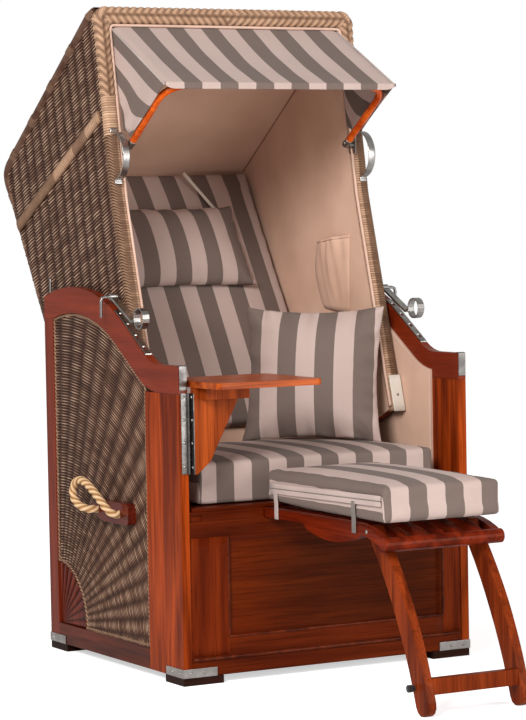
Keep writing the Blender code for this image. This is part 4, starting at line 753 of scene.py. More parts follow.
def set_floor():
    """Plain pale floor that takes the shadow."""
    shader = Shader("floor_white")
    shader.set("Base Color", (0.96, 0.96, 0.96, 1.0))
    shader.set("Roughness", 0.9)
    shader.set("Specular IOR Level", 0.0)
    path = shader.add("ShaderNodeLightPath")
    shader.set("Emission Color", (1.0, 1.0, 1.0, 1.0))
    shader.set("Emission Strength", shader.math("MULTIPLY", path.outputs["Is Camera Ray"], FLOOR_LIFT))
    mesh = bpy.data.meshes.new("floor")
    reach = 14.0
    corners = [(-reach, -reach, 0), (reach, -reach, 0), (reach, reach, 0), (-reach, reach, 0)]
    mesh.from_pydata(corners, [], [(0, 1, 2, 3)])
    mesh.materials.append(shader.material)
    floor = bpy.data.objects.new("floor", mesh)
    bpy.context.scene.collection.objects.link(floor)


def dress_nodes():
    """Finishes of the CAD pieces that stay."""
    wears = {
        "upright": ["post"],
        "stile": ["back_stile"],
        "lengthwise": ["arm_rail"],
        "low_rail": ["bottom_rail"],
        "dark": ["corner_fan", "rope_block"],
        # The post caps take the darker steel: painted shade for their dark reflections.
        "hinge": ["post_cap"],
        "steel": ["latch_rack", "pivot_pin", "hand_ring", "awning_bracket", "latch_arm"],
        "wicker_core": ["wicker_panel"],
        "lining": ["inner_lining"],
    }
    single = {
        "front_board": "board",
        "front_top_rail": "crosswise",
        "back_panel": "crosswise",
        "seat_board": "crosswise",
        "footrest_runner_frame": "deck",
        "table_hinge_leaf": "hinge",
        "table_moving_leaf": "hinge",
        "table_bracket": "bracket",
        "table_top": "table",
        "footrest_deck": "deck",
        "footrest_legs": "leg",
        "awning_bow": "bow",
        "hood_wicker": "wicker_core",
        "hood_frame": "upright",
        "hood_lining": "lining",
    }
    for finish, names in wears.items():
        for name in names:
            for side, _ in SIDES:
                single[side + "_" + name] = finish
    for end in ("front", "back"):
        for side, _ in SIDES:
            single[end + "_" + side + "_foot"] = "foot"
            single[end + "_" + side + "_corner_bracket"] = "steel"
    for name, finish in single.items():
        for material_slot in NODES[name].material_slots:
            material_slot.material = MATERIALS[finish]


def rope_handles():
    """Twisted rope loops out of the blocks on both sides."""
    lay = 0.022
    strands = 3

    def twist(s, angle):
        wave = math.cos(strands * (angle - 2 * math.pi * s / (lay * strands)))
        # Tone drops between the twisted strands: painted shade in the crevices.
        return 0.0013 * wave - 0.0006, 0.56 + 0.36 * wave

    for side, sign in SIDES:
        route = [at(sign * (ROPE_FACE + out), y, z) for out, y, z in ROPE_ROUTE]
        path = spaced(spline(route), 0.0032)
        rope = tube(side + "_rope_handle", path, (ROPE_RADIUS, ROPE_RADIUS), MATERIALS["rope"],
                    "base", twist, 24)
        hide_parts(side + "_rope")
        marks = spaced(path, sum((b - a).length for a, b in zip(path, path[1:])) / 30)


def hood_weave():
    """Woven skin of the hood: both sides, and one sheet over roof and back."""
    slant = math.radians(18.0)
    stake_lean = math.radians(11.5)
    along = Vector((math.cos(slant), -math.sin(slant)))
    stake = Vector((math.sin(stake_lean), math.cos(stake_lean)))
    twist = along.x * stake.y - along.y * stake.x
    low = 0.602
    _, roof, back = hood_lines(HOOD_CORNER, 0)
    roof_in = Vector((-math.sin(ROOF_FALL), -math.cos(ROOF_FALL)))
    back_in = Vector((-math.cos(BACK_LEAN), math.sin(BACK_LEAN)))
    setback = RIM_DEPTH - 0.004
    outer = hood_lines(0, setback)
    peak = meet(*outer[0], *outer[1])
    far = meet(*outer[1], *outer[2])
    reach = [peak, far, Vector((front_edge_y(low), low)), meet(*outer[2], (0, low), (1, 0))]
    across_rows = [(along.x * p.y - along.y * p.x) / twist for p in reach]
    along_rows = [(p.x * stake.y - p.y * stake.x) / twist for p in reach]
    u_low = min(along_rows)
    v_low = min(across_rows)
    step_u = STAKE_PITCH / STRAND_SAMPLES
    step_v = HOOD_STRAND / STRAND_ROWS / twist
    columns = int((max(along_rows) - u_low) / step_u) + 2
    rows = int((max(across_rows) - v_low) / step_v) + 2

    def inside(p):
        q = p.copy()
        for _ in range(2):
            for line, inward in ((roof, roof_in), (back, back_in)):
                depth = (q - line[0]).dot(inward)
                if depth < 0:
                    q -= inward * depth
        off = p - q
        outside = off.length > HOOD_CORNER
        if outside:
            p = q + off.normalized() * HOOD_CORNER
        edge = front_edge_y(p.y) + setback
        if p.x < edge:
            p = Vector((edge, p.y))
            outside = True
        if p.y < low:
            p = Vector((p.x, low))
            outside = True
        return p, outside

    for side, sign in SIDES:
        def spot(c, r, sign=sign):
            p, outside = inside(along * (u_low + c * step_u) + stake * (v_low + r * step_v))
            return at(sign * HOOD_HALF_WIDTH, p.x, p.y), Vector((sign, 0, 0)), outside

        woven("hood_" + side + "_weave", columns, rows, spot, "hood")

    profile = spaced([Vector((p.x, p.y, 0)) for p in hood_back_profile(0, setback, BACK_BOTTOM)], step_v)
    half = HOOD_HALF_WIDTH - 0.004
    columns_x = int(2 * half / step_u) + 1

    def over(c, r):
        k = min(int(r), len(profile) - 2)
        p = profile[k].lerp(profile[k + 1], min(max(r, 0), len(profile) - 1) - k)
        ahead = profile[min(k + 1, len(profile) - 1)]
        behind = profile[max(k - 1, 0)]
        run = (ahead - behind).normalized()
        out = Vector((0, -run.y, run.x))
        return at(-half + 2 * half * c / (columns_x - 1), p.x, p.y), out, False

    woven("hood_back_weave", columns_x, len(profile), over, "hood")


def bundle(s, angle):
    """Straight canes tied by a wrapped band now and then, with painted shade between canes and between turns.
    """
    spacing = 0.145
    place = s % spacing
    if place < 0.030:
        wave = abs(math.sin(math.pi * place / 0.005))
        return 0.0010 + 0.0014 * wave, 0.24 + 0.40 * wave
    wave = abs(math.sin(3.5 * angle))
    return 0.0012 * wave - 0.0006, 0.14 + 0.28 * wave + 0.08 * chance(math.floor(s / 0.02))


def wrapping(s, angle):
    """Close turns of flat cane, with painted shade between turns."""
    wave = abs(math.sin(math.pi * s / 0.0062))
    return 0.0012 * wave - 0.0010, 0.18 + 0.55 * wave * (0.7 + 0.5 * chance(math.floor(s / 0.0062)))


def banding(s, angle):
    """Wide turns of cane, some sections paler than others, with painted shade between turns and towards the
    band's edges to round it.
    """
    turn = 0.0085
    wave = abs(math.sin(math.pi * s / turn))
    section_tone = 0.42 if chance(math.floor(s / 0.043) + 3) < 0.4 or s > 0.36 else 0.72
    return 0.0008 * wave - 0.0004, section_tone * (0.60 + 0.40 * wave) * (0.35 + 0.65 * abs(math.sin(angle)))


def pole_x(z):
    """The poles stand out above the base's sides and draw in between them."""
    part = min(max((z - 1.14) / 0.08, 0.0), 1.0)
    return HOOD_HALF_WIDTH - 0.0100 + 0.0090 * part


def hood_edges():
    """Tied cane poles along the hood's long edges and the wrapped band across each side."""
    pole = 0.0115
    inset = 0.0075
    profile = hood_back_profile(inset, RIM_DEPTH - 0.008, 0.700)

    def girth(s):
        grown = pole * min(1.0, 0.40 + s / 0.05)
        return grown, grown

    for side, sign in SIDES:
        line = [Vector((p.x, p.y, 0)) for p in profile]
        line = [at(sign * pole_x(p.y), p.x, p.y) for p in spaced(line, 0.0024)]
        tube("hood_" + side + "_edge_pole", line, girth, MATERIALS["wicker"],
             "hood", bundle, 16)
        start = Vector((0.452, 1.353))
        run = Vector((math.cos(BAND_FALL), -math.sin(BAND_FALL)))
        end = meet(start, run, *hood_lines(0.012, 0)[2])
        band = [at(sign * (HOOD_HALF_WIDTH + 0.0035), *start.lerp(end, i / 40)) for i in range(41)]
        tube("hood_" + side + "_band", spaced(band, 0.0024), (0.0165, 0.0062), MATERIALS["braid"],
             "hood", banding, 14, 0.8, (1, 0, 0))


def hood_rim():
    """Rim: herringbone braid over the top, close wrapping further down."""
    x = RIM_OUTSIDE - RIM_WIDTH / 2
    middle = RIM_DEPTH / 2
    corners = [
        at(-x, FRONT_LOW[0] + middle, FRONT_LOW[1]),
        at(-x, FRONT_BEND[0] + middle, FRONT_BEND[1]),
        at(-x, front_edge_y(RIM_CROWN_Z) + middle, RIM_CROWN_Z),
        at(x, front_edge_y(RIM_CROWN_Z) + middle, RIM_CROWN_Z),
        at(x, FRONT_BEND[0] + middle, FRONT_BEND[1]),
        at(x, FRONT_LOW[0] + middle, FRONT_LOW[1]),
    ]
    path = spaced(eased(corners, 0.013), 0.0020)
    total = sum((b - a).length for a, b in zip(path, path[1:]))
    lower = (corners[1] - corners[0]).length
    upper = (corners[2] - corners[1]).length
    braid_start = lower + 0.55 * upper
    wrap_start = lower + 0.34 * upper
    leaf_pitch = 0.0200

    def halves(s):
        into = min(s, total - s)
        part = min(max((into - (lower + upper - 0.06)) / 0.06, 0.0), 1.0)
        return RIM_WIDTH / 2 + part * RIM_TOP_GROWTH, RIM_DEPTH / 2

    def relief(s, angle):
        into = min(s, total - s)
        cross = math.cos(angle)
        if into > braid_start:
            phase = (into - 0.017 * abs(cross)) / leaf_pitch * 2 * math.pi
            if cross > 0:
                phase += math.pi
            leaf = 0.5 + 0.5 * math.cos(phase)
            cord = 0.5 + 0.5 * math.cos(4 * phase)
            # Tone drops between braid leaves and along the middle line: painted shade in the grooves.
            groove = min(1.0, 0.45 + abs(cross) / 0.3)
            height = 0.0028 * leaf ** 0.6 * groove + 0.0006 * cord - 0.0018
            return height, 0.04 + groove * (0.16 + 0.34 * leaf ** 0.8 + 0.30 * cord)
        height, tone = wrapping(s, angle)
        if into > wrap_start:
            return height, tone + 0.12
        if cross < -0.25:
            dash = math.cos(2 * math.pi * (s / 0.0075 + 1.6 * cross))
            return 0.0009 * dash - 0.0009, 0.26 + 0.24 * dash
        # Painted shade along the middle groove of the wrapping.
        groove = 0.45 if abs(cross) < 0.22 else 1.0
        return height, (tone + 0.01) * groove

    rim = tube("hood_rim_braid", path, halves, MATERIALS["braid"], "hood", relief, 32, 0.70,
               (0, -1, 0))
    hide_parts("hood_rim")


def hood_piping():
    """Cloth piping along the lining's front edge, inside the rim."""
    x = RIM_OUTSIDE - RIM_WIDTH - 0.002
    back = 0.007
    top = RIM_CROWN_Z - 0.0245
    corners = [
        at(-x, front_edge_y(0.612) + back, 0.612),
        at(-x, FRONT_BEND[0] + back, FRONT_BEND[1]),
        at(-x, front_edge_y(top) + back, top),
        at(x, front_edge_y(top) + back, top),
        at(x, FRONT_BEND[0] + back, FRONT_BEND[1]),
        at(x, front_edge_y(0.612) + back, 0.612),
    ]
    tube("hood_lining_piping", spaced(eased(corners, 0.012), 0.006), (0.0036, 0.0036), MATERIALS["piping"],
         "hood", ring=10)
    for side, sign in SIDES:
        edge = []
        for i in range(25):
            y = 0.470 - (0.470 - 0.121) * i / 24
            edge.append(at(sign * 0.3725, y, arm_z(y, 0.048)))
        edge.append(at(sign * 0.3725, 0.121, 0.420))
        tube(side + "_board_piping", spaced(eased(edge, 0.010), 0.006), (0.0036, 0.0036), MATERIALS["piping"],
             "base", ring=10)


def ceiling_seams():
    """Sewn seams where the ceiling's lining meets the side walls, in a darker copy of the lining cloth:
    painted shade in the corner.
    """
    front, roof, back = hood_lines(WALL_DEPTH + 0.001, RIM_DEPTH)
    ends = (meet(*front, *roof), meet(*roof, *back))
    for side, sign in SIDES:
        line = [at(sign * (HOOD_INSIDE - 0.001), *ends[0].lerp(ends[1], i / 30)) for i in range(31)]
        tube("ceiling_" + side + "_seam", line, (0.0022, 0.0022), MATERIALS["seam"], "hood",
             ring=8)


def side_panels():
    """Radial weave of the side panels and the twisted cord round their openings."""
    centre = Vector((OPENING_BACK, OPENING_LOW))
    inner = FAN_RADIUS - 0.006
    outer = 0.85
    spokes = 17
    columns = spokes * STRAND_SAMPLES + 1
    rows = int((outer - inner) / (PANEL_STRAND / STRAND_ROWS)) + 1

    def twist(s, angle):
        wave = math.cos(2 * (angle - math.pi * s / 0.011))
        # Tone drops between the twists: painted shade in the crevices.
        return 0.0006 * wave, 0.34 + 0.26 * wave

    for side, sign in SIDES:
        def spot(c, r, sign=sign):
            angle = math.pi / 2 * c / (columns - 1)
            radius = inner + r * PANEL_STRAND / STRAND_ROWS
            y = centre.x - radius * math.cos(angle)
            z = centre.y + radius * math.sin(angle)
            outside = y < OPENING_FRONT or z > arm_z(max(y, OPENING_FRONT), ARM_RAIL_HEIGHT)
            y = max(y, OPENING_FRONT)
            z = min(z, arm_z(y, ARM_RAIL_HEIGHT))
            return at(sign * PANEL_FACE, y, z), Vector((sign, 0, 0)), outside

        woven(side + "_panel_weave", columns, rows, spot, "base")
        inset = 0.0045
        x = sign * (PANEL_FACE + 0.0022)
        top = []
        for i in range(31):
            y = OPENING_BACK - inset - (OPENING_BACK - OPENING_FRONT - 2 * inset) * i / 30
            top.append(at(x, y, arm_z(y, ARM_RAIL_HEIGHT + inset)))
        arc = []
        for i in range(17):
            angle = math.pi / 2 * i / 16
            reach = FAN_RADIUS + inset
            arc.append(at(x, centre.x - reach * math.cos(angle), centre.y + reach * math.sin(angle)))
        edge = [at(x, OPENING_BACK - inset, OPENING_LOW + FAN_RADIUS)] + top
        edge += [at(x, OPENING_FRONT + inset, OPENING_LOW + inset)]
        edge += [at(x, OPENING_BACK - FAN_RADIUS, OPENING_LOW + inset)]
        parts = []
        for line in (edge, arc):
            parts.append(tube("", spaced(line, 0.0028), (0.0028, 0.0028), None, None, twist, 10, 1.0,
                              (1, 0, 0), build=False))
        merged(side + "_panel_edging", parts, MATERIALS["braid"], "base")


def fan_rays():
    """Rounded rays of the corner fans, over the carved solids, with painted shade in the grooves between
    rays.
    """
    around = 8 * FAN_RAYS
    steps = 14
    for side, sign in SIDES:
        points = []
        tones = []
        for k in range(steps + 1):
            share = 0.05 + 0.94 * k / steps
            for i in range(around + 1):
                angle = math.pi / 2 * i / around
                ray = abs(math.sin(2 * FAN_RAYS * angle))
                radius = share * (FAN_RADIUS - (1 - ray) * FAN_RELIEF)
                height = FAN_FACE + FAN_RELIEF * share * ray ** 0.6 + 0.0006
                y = OPENING_BACK - 0.0003 - radius * math.cos(angle)
                z = OPENING_LOW + 0.0003 + radius * math.sin(angle)
                points.append(at(sign * height, y, z))
                # Tone falls between the rays: painted shade in the grooves.
                tones.append(ray ** 0.7)
        faces = []
        for k in range(steps):
            for i in range(around):
                a = k * (around + 1) + i
                faces.append((a, a + 1, a + around + 2, a + around + 1))
        piece(side + "_fan_rays", points, faces, MATERIALS["fan"], "base", {"tone": tones})


def inflate(thing, cap, fixed):
    """Swell a pad as stuffed cloth, with some points held and no point moving further than the cap."""
    scene = bpy.context.scene
    rest = [vertex.co.copy() for vertex in thing.data.vertices]
    held = thing.vertex_groups.new(name="held")
    held.add(fixed, 1.0, "REPLACE")
    cloth = thing.modifiers.new("swell", "CLOTH")
    cloth.settings.use_pressure = True
    cloth.settings.uniform_pressure_force = SWELL_PRESSURE
    cloth.settings.effector_weights.gravity = 0.0
    cloth.settings.vertex_group_mass = "held"
    cloth.collision_settings.use_collision = False
    cloth.point_cache.frame_start = 1
    cloth.point_cache.frame_end = SWELL_FRAMES
    for step in range(1, SWELL_FRAMES + 1):
        scene.frame_set(step)
    grown = thing.evaluated_get(bpy.context.evaluated_depsgraph_get())
    mesh = grown.to_mesh()
    moved = [vertex.co.copy() for vertex in mesh.vertices]
    grown.to_mesh_clear()
    thing.modifiers.remove(cloth)
    thing.vertex_groups.remove(held)
    scene.frame_set(1)
    for vertex, start, end in zip(thing.data.vertices, rest, moved):
        way = end - start
        vertex.co = start + way * min(1.0, cap / max(way.length, 1e-9))
    thing.data.update()


def pad(name, half_x, half_y, heights, draw, rounding, cell, place, shift, body, node, pucker,
        swell, pitch=STRIPE, front_lift=1.0, fall=1.0):
    """A stuffed closed form: crowned top, lifted edges, sides drawn in, with creases near the seams."""
    lift, edge, crown = heights
    half_z = (edge - lift) / 2
    halves = (half_x, half_y, half_z)
    count = [max(least, round(2 * half / cell)) for least, half in zip((4, 4, 2), halves)]
    radius = min(rounding, 0.92 * half_z)
    index = {}
    points = []
    stripes = []

    def shaped(key):
        raw = Vector([halves[n] * (2 * key[n] / count[n] - 1) for n in range(3)])
        core = Vector([max(-(halves[n] - radius), min(halves[n] - radius, raw[n])) for n in range(3)])
        off = raw - core
        p = core + off.normalized() * radius
        s = p.x / half_x
        t = p.y / half_y
        middle = (1 - s ** 4) * (1 - t ** 4)
        bow = (1 - s * s) * (1 - t * t)
        lower = lift * (1 - middle) * (1 + (front_lift - 1) * (1 - t) / 2)
        upper = edge + crown * (0.5 * middle + 0.5 * bow)
        w = (p.z / half_z + 1) / 2
        z = lower + (upper - lower) * w
        gap_x = half_x * (1 - abs(s))
        gap_y = half_y * (1 - abs(t))
        near_x = math.exp(-gap_x / 0.030)
        near_y = math.exp(-gap_y / 0.030)
        fold = near_y * noise.noise(Vector((p.x * 34, t * 1.5, 3.0))) + near_x * noise.noise(
            Vector((p.y * 34, s * 1.5, 9.0)))
        wave = noise.noise(Vector((p.x * 7, p.y * 7, 5.0 + w * 2)))
        z += pucker * (1.3 * fold + 0.35 * wave * min(1.0, bow * 8)) * (0.25 + 0.75 * w)
        x = p.x * (1 - draw * (1 - t * t))
        y = p.y * (1 - draw * (1 - s * s))
        lean = abs(off.x) / max(math.hypot(off.x, off.y), 1e-9)
        drop = (1 - w) * (upper - lower)
        stripes.append((x + math.copysign(fall * drop * lean ** 4, x)) * STRIPE / pitch + shift)
        return place @ Vector((x, y, z))

    def vertex(key):
        if key not in index:
            index[key] = len(points)
            points.append(shaped(key))
        return index[key]

    faces = []
    for axis in range(3):
        one, two = [n for n in range(3) if n != axis]
        for end in (0, count[axis]):
            for i in range(count[one]):
                for j in range(count[two]):
                    corners = []
                    for di, dj in ((0, 0), (1, 0), (1, 1), (0, 1)):
                        key = [0, 0, 0]
                        key[axis] = end
                        key[one] = i + di
                        key[two] = j + dj
                        corners.append(vertex(tuple(key)))
                    flip = (end == 0) == (axis != 1)
                    faces.append(tuple(reversed(corners)) if flip else tuple(corners))
    thing = piece(name, points, faces, MATERIALS["stripes"], body, {"stripe": stripes})
    inflate(thing, swell, [i for key, i in index.items() if key[2] == 0])
    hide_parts(node)
    return thing


def back_place():
    """Frame on the lining of the hood's back wall, and its up direction."""
    point, direction = hood_lines(WALL_DEPTH, 0)[2]
    return point, direction, Vector((-direction.y, direction.x)), math.pi / 2 - BACK_LEAN


def cushions():
    """The five striped cushions and pillows."""
    seat_place = Matrix.Translation(at(0, 0.270, 0.4176))
    pad("seat_pad", 0.330, 0.230, (0.003, 0.102, 0.009), 0.008, 0.009, 0.009, seat_place, 0.78 * STRIPE,
        "base", "seat_cushion", 0.0016, 0.004)
    point, direction, inward, tilt = back_place()
    middle = point + direction * (0.392 - 0.385) / 2
    turn = Matrix.Rotation(tilt, 4, "X")
    pad("back_pad", 0.328, 0.3885, (0.006, 0.040, 0.018), 0.012, 0.012, 0.009,
        Matrix.Translation(at(0, *middle)) @ turn, 1.95 * STRIPE, "hood", "back_cushion", 0.0018, 0.003)
    head = point + direction * 0.131 + inward * (0.060 + 0.0003 - 0.0009)
    pad("head_pad", 0.220, 0.1225, (0.012, 0.026, 0.040), 0.05, 0.005, 0.006,
        Matrix.Translation(at(0, *head)) @ turn, 1.45 * STRIPE, "hood", "head_pillow", 0.0065, 0.007,
        0.0465)
    lean = math.radians(12.0)
    half = 0.180
    tall = 0.1745
    z = 0.4173 + 0.112 - 0.0159 + tall * math.cos(lean)
    turn = Matrix.Rotation(math.radians(-42.0), 4, "Z") @ Matrix.Rotation(math.pi / 2 - lean, 4, "X")
    pad("throw_pad", half, tall, (0.048, 0.055, 0.050), 0.085, 0.003, 0.006,
        Matrix.Translation(at(0.203, 0.389, z)) @ turn, 0.71 * STRIPE, "base", "throw_pillow", 0.0120,
        0.008)
    foot_place = Matrix.Translation(at(-0.0220, -0.279, 0.4088))
    pad("footrest_pad", 0.1550, 0.264, (0.021, 0.089, 0.012), 0.008, 0.009, 0.008, foot_place, 0.80 * STRIPE,
        "footrest", "footrest_cushion", 0.0016, 0.003, STRIPE, 0.45, 1.4)


def bow_ends():
    """Steel ferrules on the bow's lower ends, with the heads of their pins."""
    pivot = Vector(BOW_PIVOT)
    way = Vector((-math.cos(BOW_RISE), math.sin(BOW_RISE)))
    parts = []
    heads = []
    for _, sign in SIDES:
        line = [at(sign * BOW_HALF_WIDTH, *(pivot + way * (0.0035 * k - 0.0010))) for k in range(8)]
        parts.append(tube("", line, (0.0093, 0.0093), None, None, flat_relief, 14, build=False))
        heads.append((at(sign * (BOW_HALF_WIDTH - 0.0090), *(pivot + way * 0.009)), (-sign, 0, 0)))
    merged("bow_ferrules", parts, MATERIALS["steel"], "awning")
    studs("bow_pin_heads", heads, "awning", 0.0060)


def hand_rings():
    """Smooth steel bands that bow out from the rim, in place of the faceted ones."""
    low = Vector((front_edge_y(RING_LOW), RING_LOW))
    high = Vector((front_edge_y(RING_HIGH), RING_HIGH))
    along = (high - low).normalized()
    out = Vector((-along.y, along.x))
    half = (high - low).length / 2
    middle = (low + high) / 2 + out * 0.0014
    line = [middle - along * (half + RING_TAB)]
    for i in range(41):
        angle = math.pi * i / 40
        line.append(middle - along * half * math.cos(angle) + out * RING_REACH * math.sin(angle))
    line.append(middle + along * (half + RING_TAB))
    for side, sign in SIDES:
        path = spaced([at(sign * RING_X, p.x, p.y) for p in line], 0.003)
        ring = tube(side + "_hand_band", path, (0.0012, 0.0098), MATERIALS["steel"], "hood", ring=16,
                    power=0.4, normal=(1, 0, 0))
        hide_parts(side + "_hand_ring")


def studs(name, spots, body, radius=0.0040):
    """Domed screw heads, each at a place with its outward direction."""
    def dome(s):
        reach = radius * math.sqrt(max(0.05, 1 - (s / 0.0034) ** 2))
        return reach, reach

    parts = []
    for place, out in spots:
        path = [place + Vector(out) * (0.0007 * k - 0.0008) for k in range(5)]
        parts.append(tube("", path, dome, None, None, flat_relief, 12, build=False))
    merged(name, parts, MATERIALS["steel"], body)


def screws():
    """Screw heads of the hinge, the corner brackets, the deck and the rim's plates."""
    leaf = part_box("table_moving_leaf")
    fixed = [(at(-0.389, -0.0024, z), (0, -1, 0)) for z in (0.682, 0.628, 0.574, 0.518)]
    for end in ("front", "back"):
        for side, sign in SIDES:
            low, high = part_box(end + "_" + side + "_corner_bracket")
            z = (low[2] + high[2]) / 2
            face_x = low[0] if sign < 0 else high[0]
            face_y = low[1] if end == "front" else high[1]
            inward_y = 1 if end == "front" else -1
            for reach in (0.020, 0.056):
                fixed.append((Vector((face_x, face_y + inward_y * reach, z)), (sign, 0, 0)))
                fixed.append((Vector((face_x - sign * reach, face_y, z)), (0, -inward_y, 0)))
    studs("base_screws", fixed, "base")
    middle_y = (leaf[0][1] + leaf[1][1]) / 2
    moving = [(Vector((leaf[0][0], middle_y, z)), (-1, 0, 0)) for z in (0.681, 0.627, 0.573, 0.516)]
    studs("table_screws", moving, "side_table", 0.0035)
    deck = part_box("footrest_deck")
    bolts = [(at(0, -0.461, 0.392), deck[0][0], -1), (at(0, -0.461, 0.392), deck[1][0], 1)]
    studs("deck_bolts", [(Vector((x, p.y, p.z)), (sign, 0, 0)) for p, x, sign in bolts], "footrest", 0.0055)
    x = RIM_OUTSIDE - RIM_WIDTH / 2
    plates = []
    for side, sign in SIDES:
        path = [at(sign * x, front_edge_y(z) - 0.0025, z) for z in (0.599, 0.622, 0.645, 0.668, 0.689)]
        tube(side + "_rim_plate", path, (0.0020, 0.0165), MATERIALS["plate"], "hood", ring=16,
             power=0.3,
             normal=(1, 0, 0))
        plates.append((at(sign * x, front_edge_y(0.640) - 0.0045, 0.640), (0, -1, 0)))
    studs("plate_screws", plates, "hood")


def footrest_straps():
    """Webbing that ties the footrest cushion to the deck, and the zip along its side."""
    sides = (PAD_SIDE, PAD_SIDE + 0.0002, DECK_SIDE, DECK_SIDE, DECK_SIDE)
    for end, y, finish in STRAPS:
        path = spaced(spline([at(x, y, z) for x, z in zip(sides, STRAP_HEIGHTS)]), 0.004)
        tube("footrest_strap_" + end, path, STRAP_HALVES, MATERIALS[finish], "footrest",
             ring=12, power=0.4, normal=(1, 0, 0))
    run = (ZIP_FRONT[0] - ZIP_BACK[0], ZIP_FRONT[1] - ZIP_BACK[1])
    zip_line = [at(PAD_SIDE + 0.0002, ZIP_BACK[0] + run[0] * i / 20, ZIP_BACK[1] + run[1] * i / 20)
                for i in range(21)]
    parts = []
    for rise in (-ZIP_TAPE_RISE, ZIP_TAPE_RISE):
        line = [p + Vector((0, 0, rise)) for p in zip_line]
        parts.append(tube("", line, (0.0058, 0.0009), None, None, flat_relief, 10, 0.5, (1, 0, 0),
                          build=False))
    merged("footrest_zip_tape", parts, MATERIALS["tape"], "footrest")

    def teeth(s, angle):
        return 0.0004 * math.cos(2 * math.pi * s / ZIP_TOOTH), 0.5

    tube("footrest_zip", spaced(zip_line, 0.0016), (0.0014, 0.0013), MATERIALS["webbing_dark"],
         "footrest", teeth, 8, 0.7, (1, 0, 0))


def hood_pocket():
    """Gathered cloth pocket on the right inner wall."""
    across = 26
    down = 14
    rows = []
    for i in range(down + 1):
        v = i / down
        row = []
        for j in range(across + 1):
            u = j / across
            left = 0.599 - 0.031 * v + 0.026 * math.sin(math.pi * v)
            right = 0.434 + 0.007 * v
            top = 1.027 + 0.016 * u
            bottom = 0.853 - 0.008 * u
            open_part = 1 - v
            bulge = 0.017 * math.sin(math.pi * u) * (0.35 + 0.65 * open_part)
            gather = 0.0045 * (math.sin(13 * u + 2.5 * v) + 0.7 * math.sin(29 * u - 5 * v + 1)) * open_part
            x = HOOD_INSIDE - 0.0014 - bulge - gather * math.sin(math.pi * u)
            row.append(at(x, left + (right - left) * u, top + (bottom - top) * v))
        rows.append(row)
    points, faces = shell(rows, 0.0016)
    piece("right_wall_pocket", points, faces, MATERIALS["lining"], "hood")
    tube("right_pocket_hem", spaced(rows[0], 0.005), (0.0026, 0.0042), MATERIALS["lining"],
         "hood",
         ring=10)


def head_strap():
    """White strap from the back cushion's top edge to the head pillow."""
    inward = back_place()[2]
    start = at(0.115, 0.940, 1.215)
    end = at(0.178, 0.877, 1.113)
    out = Vector((0, inward.x, inward.y))
    line = [start.lerp(end, i / 12) + out * 0.004 for i in range(13)]
    tube("head_strap", line, (0.0050, 0.0012), MATERIALS["plate"], "hood", ring=10,
         power=0.5, normal=out)


def front_line(start, end, y, steps):
    """Points on the front, along the line between two points in x and z."""
    spots = [(start[0] + (end[0] - start[0]) * k / steps, start[1] + (end[1] - start[1]) * k / steps)
             for k in range(steps + 1)]
    return [at(x, y, z) for x, z in spots]


def flat_board(name, start, end, half_width, face, finish, steps):
    """A thin board on the front, along a straight line."""
    line = front_line(start, end, face + FRAME_HALF_THICK, steps)
    tube(name, line, (half_width, FRAME_HALF_THICK), MATERIALS[finish], "base", ring=40,
         power=0.12, normal=(0, -1, 0))


def front_frame():
    """Stiles, low rail and plinth laid on the front board around its sunk panel, with beads along them."""
    for side, start, end in (("left", -FRAME_END, STILE_LEFT), ("right", STILE_RIGHT, FRAME_END)):
        middle = (start + end) / 2
        flat_board("front_" + side + "_stile", (middle, LOW_RAIL[0]), (middle, FRAME_TOP), (end - start) / 2,
                   FRAME_FACE, "front_stile", 12)
    for name, start, end, heights, face in (("front_low_rail", STILE_LEFT, STILE_RIGHT, LOW_RAIL, FRAME_FACE),
                                            ("front_plinth", -FRAME_END, FRAME_END, PLINTH, PLINTH_FACE)):
        middle = sum(heights) / 2
        flat_board(name, (start, middle), (end, middle), (heights[1] - heights[0]) / 2, face, "crosswise", 24)
    gap = (PLINTH[1] + LOW_RAIL[0]) / 2
    corners = [(STILE_LEFT, LOW_RAIL[1]), (STILE_LEFT, FRAME_TOP), (STILE_RIGHT, LOW_RAIL[1]),
               (STILE_RIGHT, FRAME_TOP)]
    runs = [(corners[0], corners[1], PANEL_BEAD), (corners[0], corners[2], PANEL_BEAD),
            (corners[2], corners[3], PANEL_BEAD), ((-FRAME_END, gap), (FRAME_END, gap), PLINTH_BEAD)]
    parts = []
    for start, end, reach in runs:
        parts.append(tube("", front_line(start, end, BEAD_Y, 24), (reach, reach), None, None, ring=12,
                          normal=(0, -1, 0), build=False))
    merged("front_beads", parts, MATERIALS["low_rail"], "base")


def rear_pins():
    """Short steel pins that stand on the arches near the back."""
    for side, sign in SIDES:
        line = [at(sign * 0.388, PIN_Y, PIN_LOW + PIN_HEIGHT * k / 10) for k in range(11)]
        tube(side + "_rear_pin", line, (0.0031, 0.0031), MATERIALS["steel"], "base", ring=10)


def leg_knob():
    """Locking knob on the left leg."""
    def turned(s):
        reach = 0.0085 if s < 0.010 else 0.0060
        return reach, reach

    path = [at(-0.1690 + 0.0012 * k, KNOB_Y, KNOB_Z) for k in range(16)]
    tube("leg_knob", path, turned, MATERIALS["rubber"], "footrest_leg_pair", ring=14)


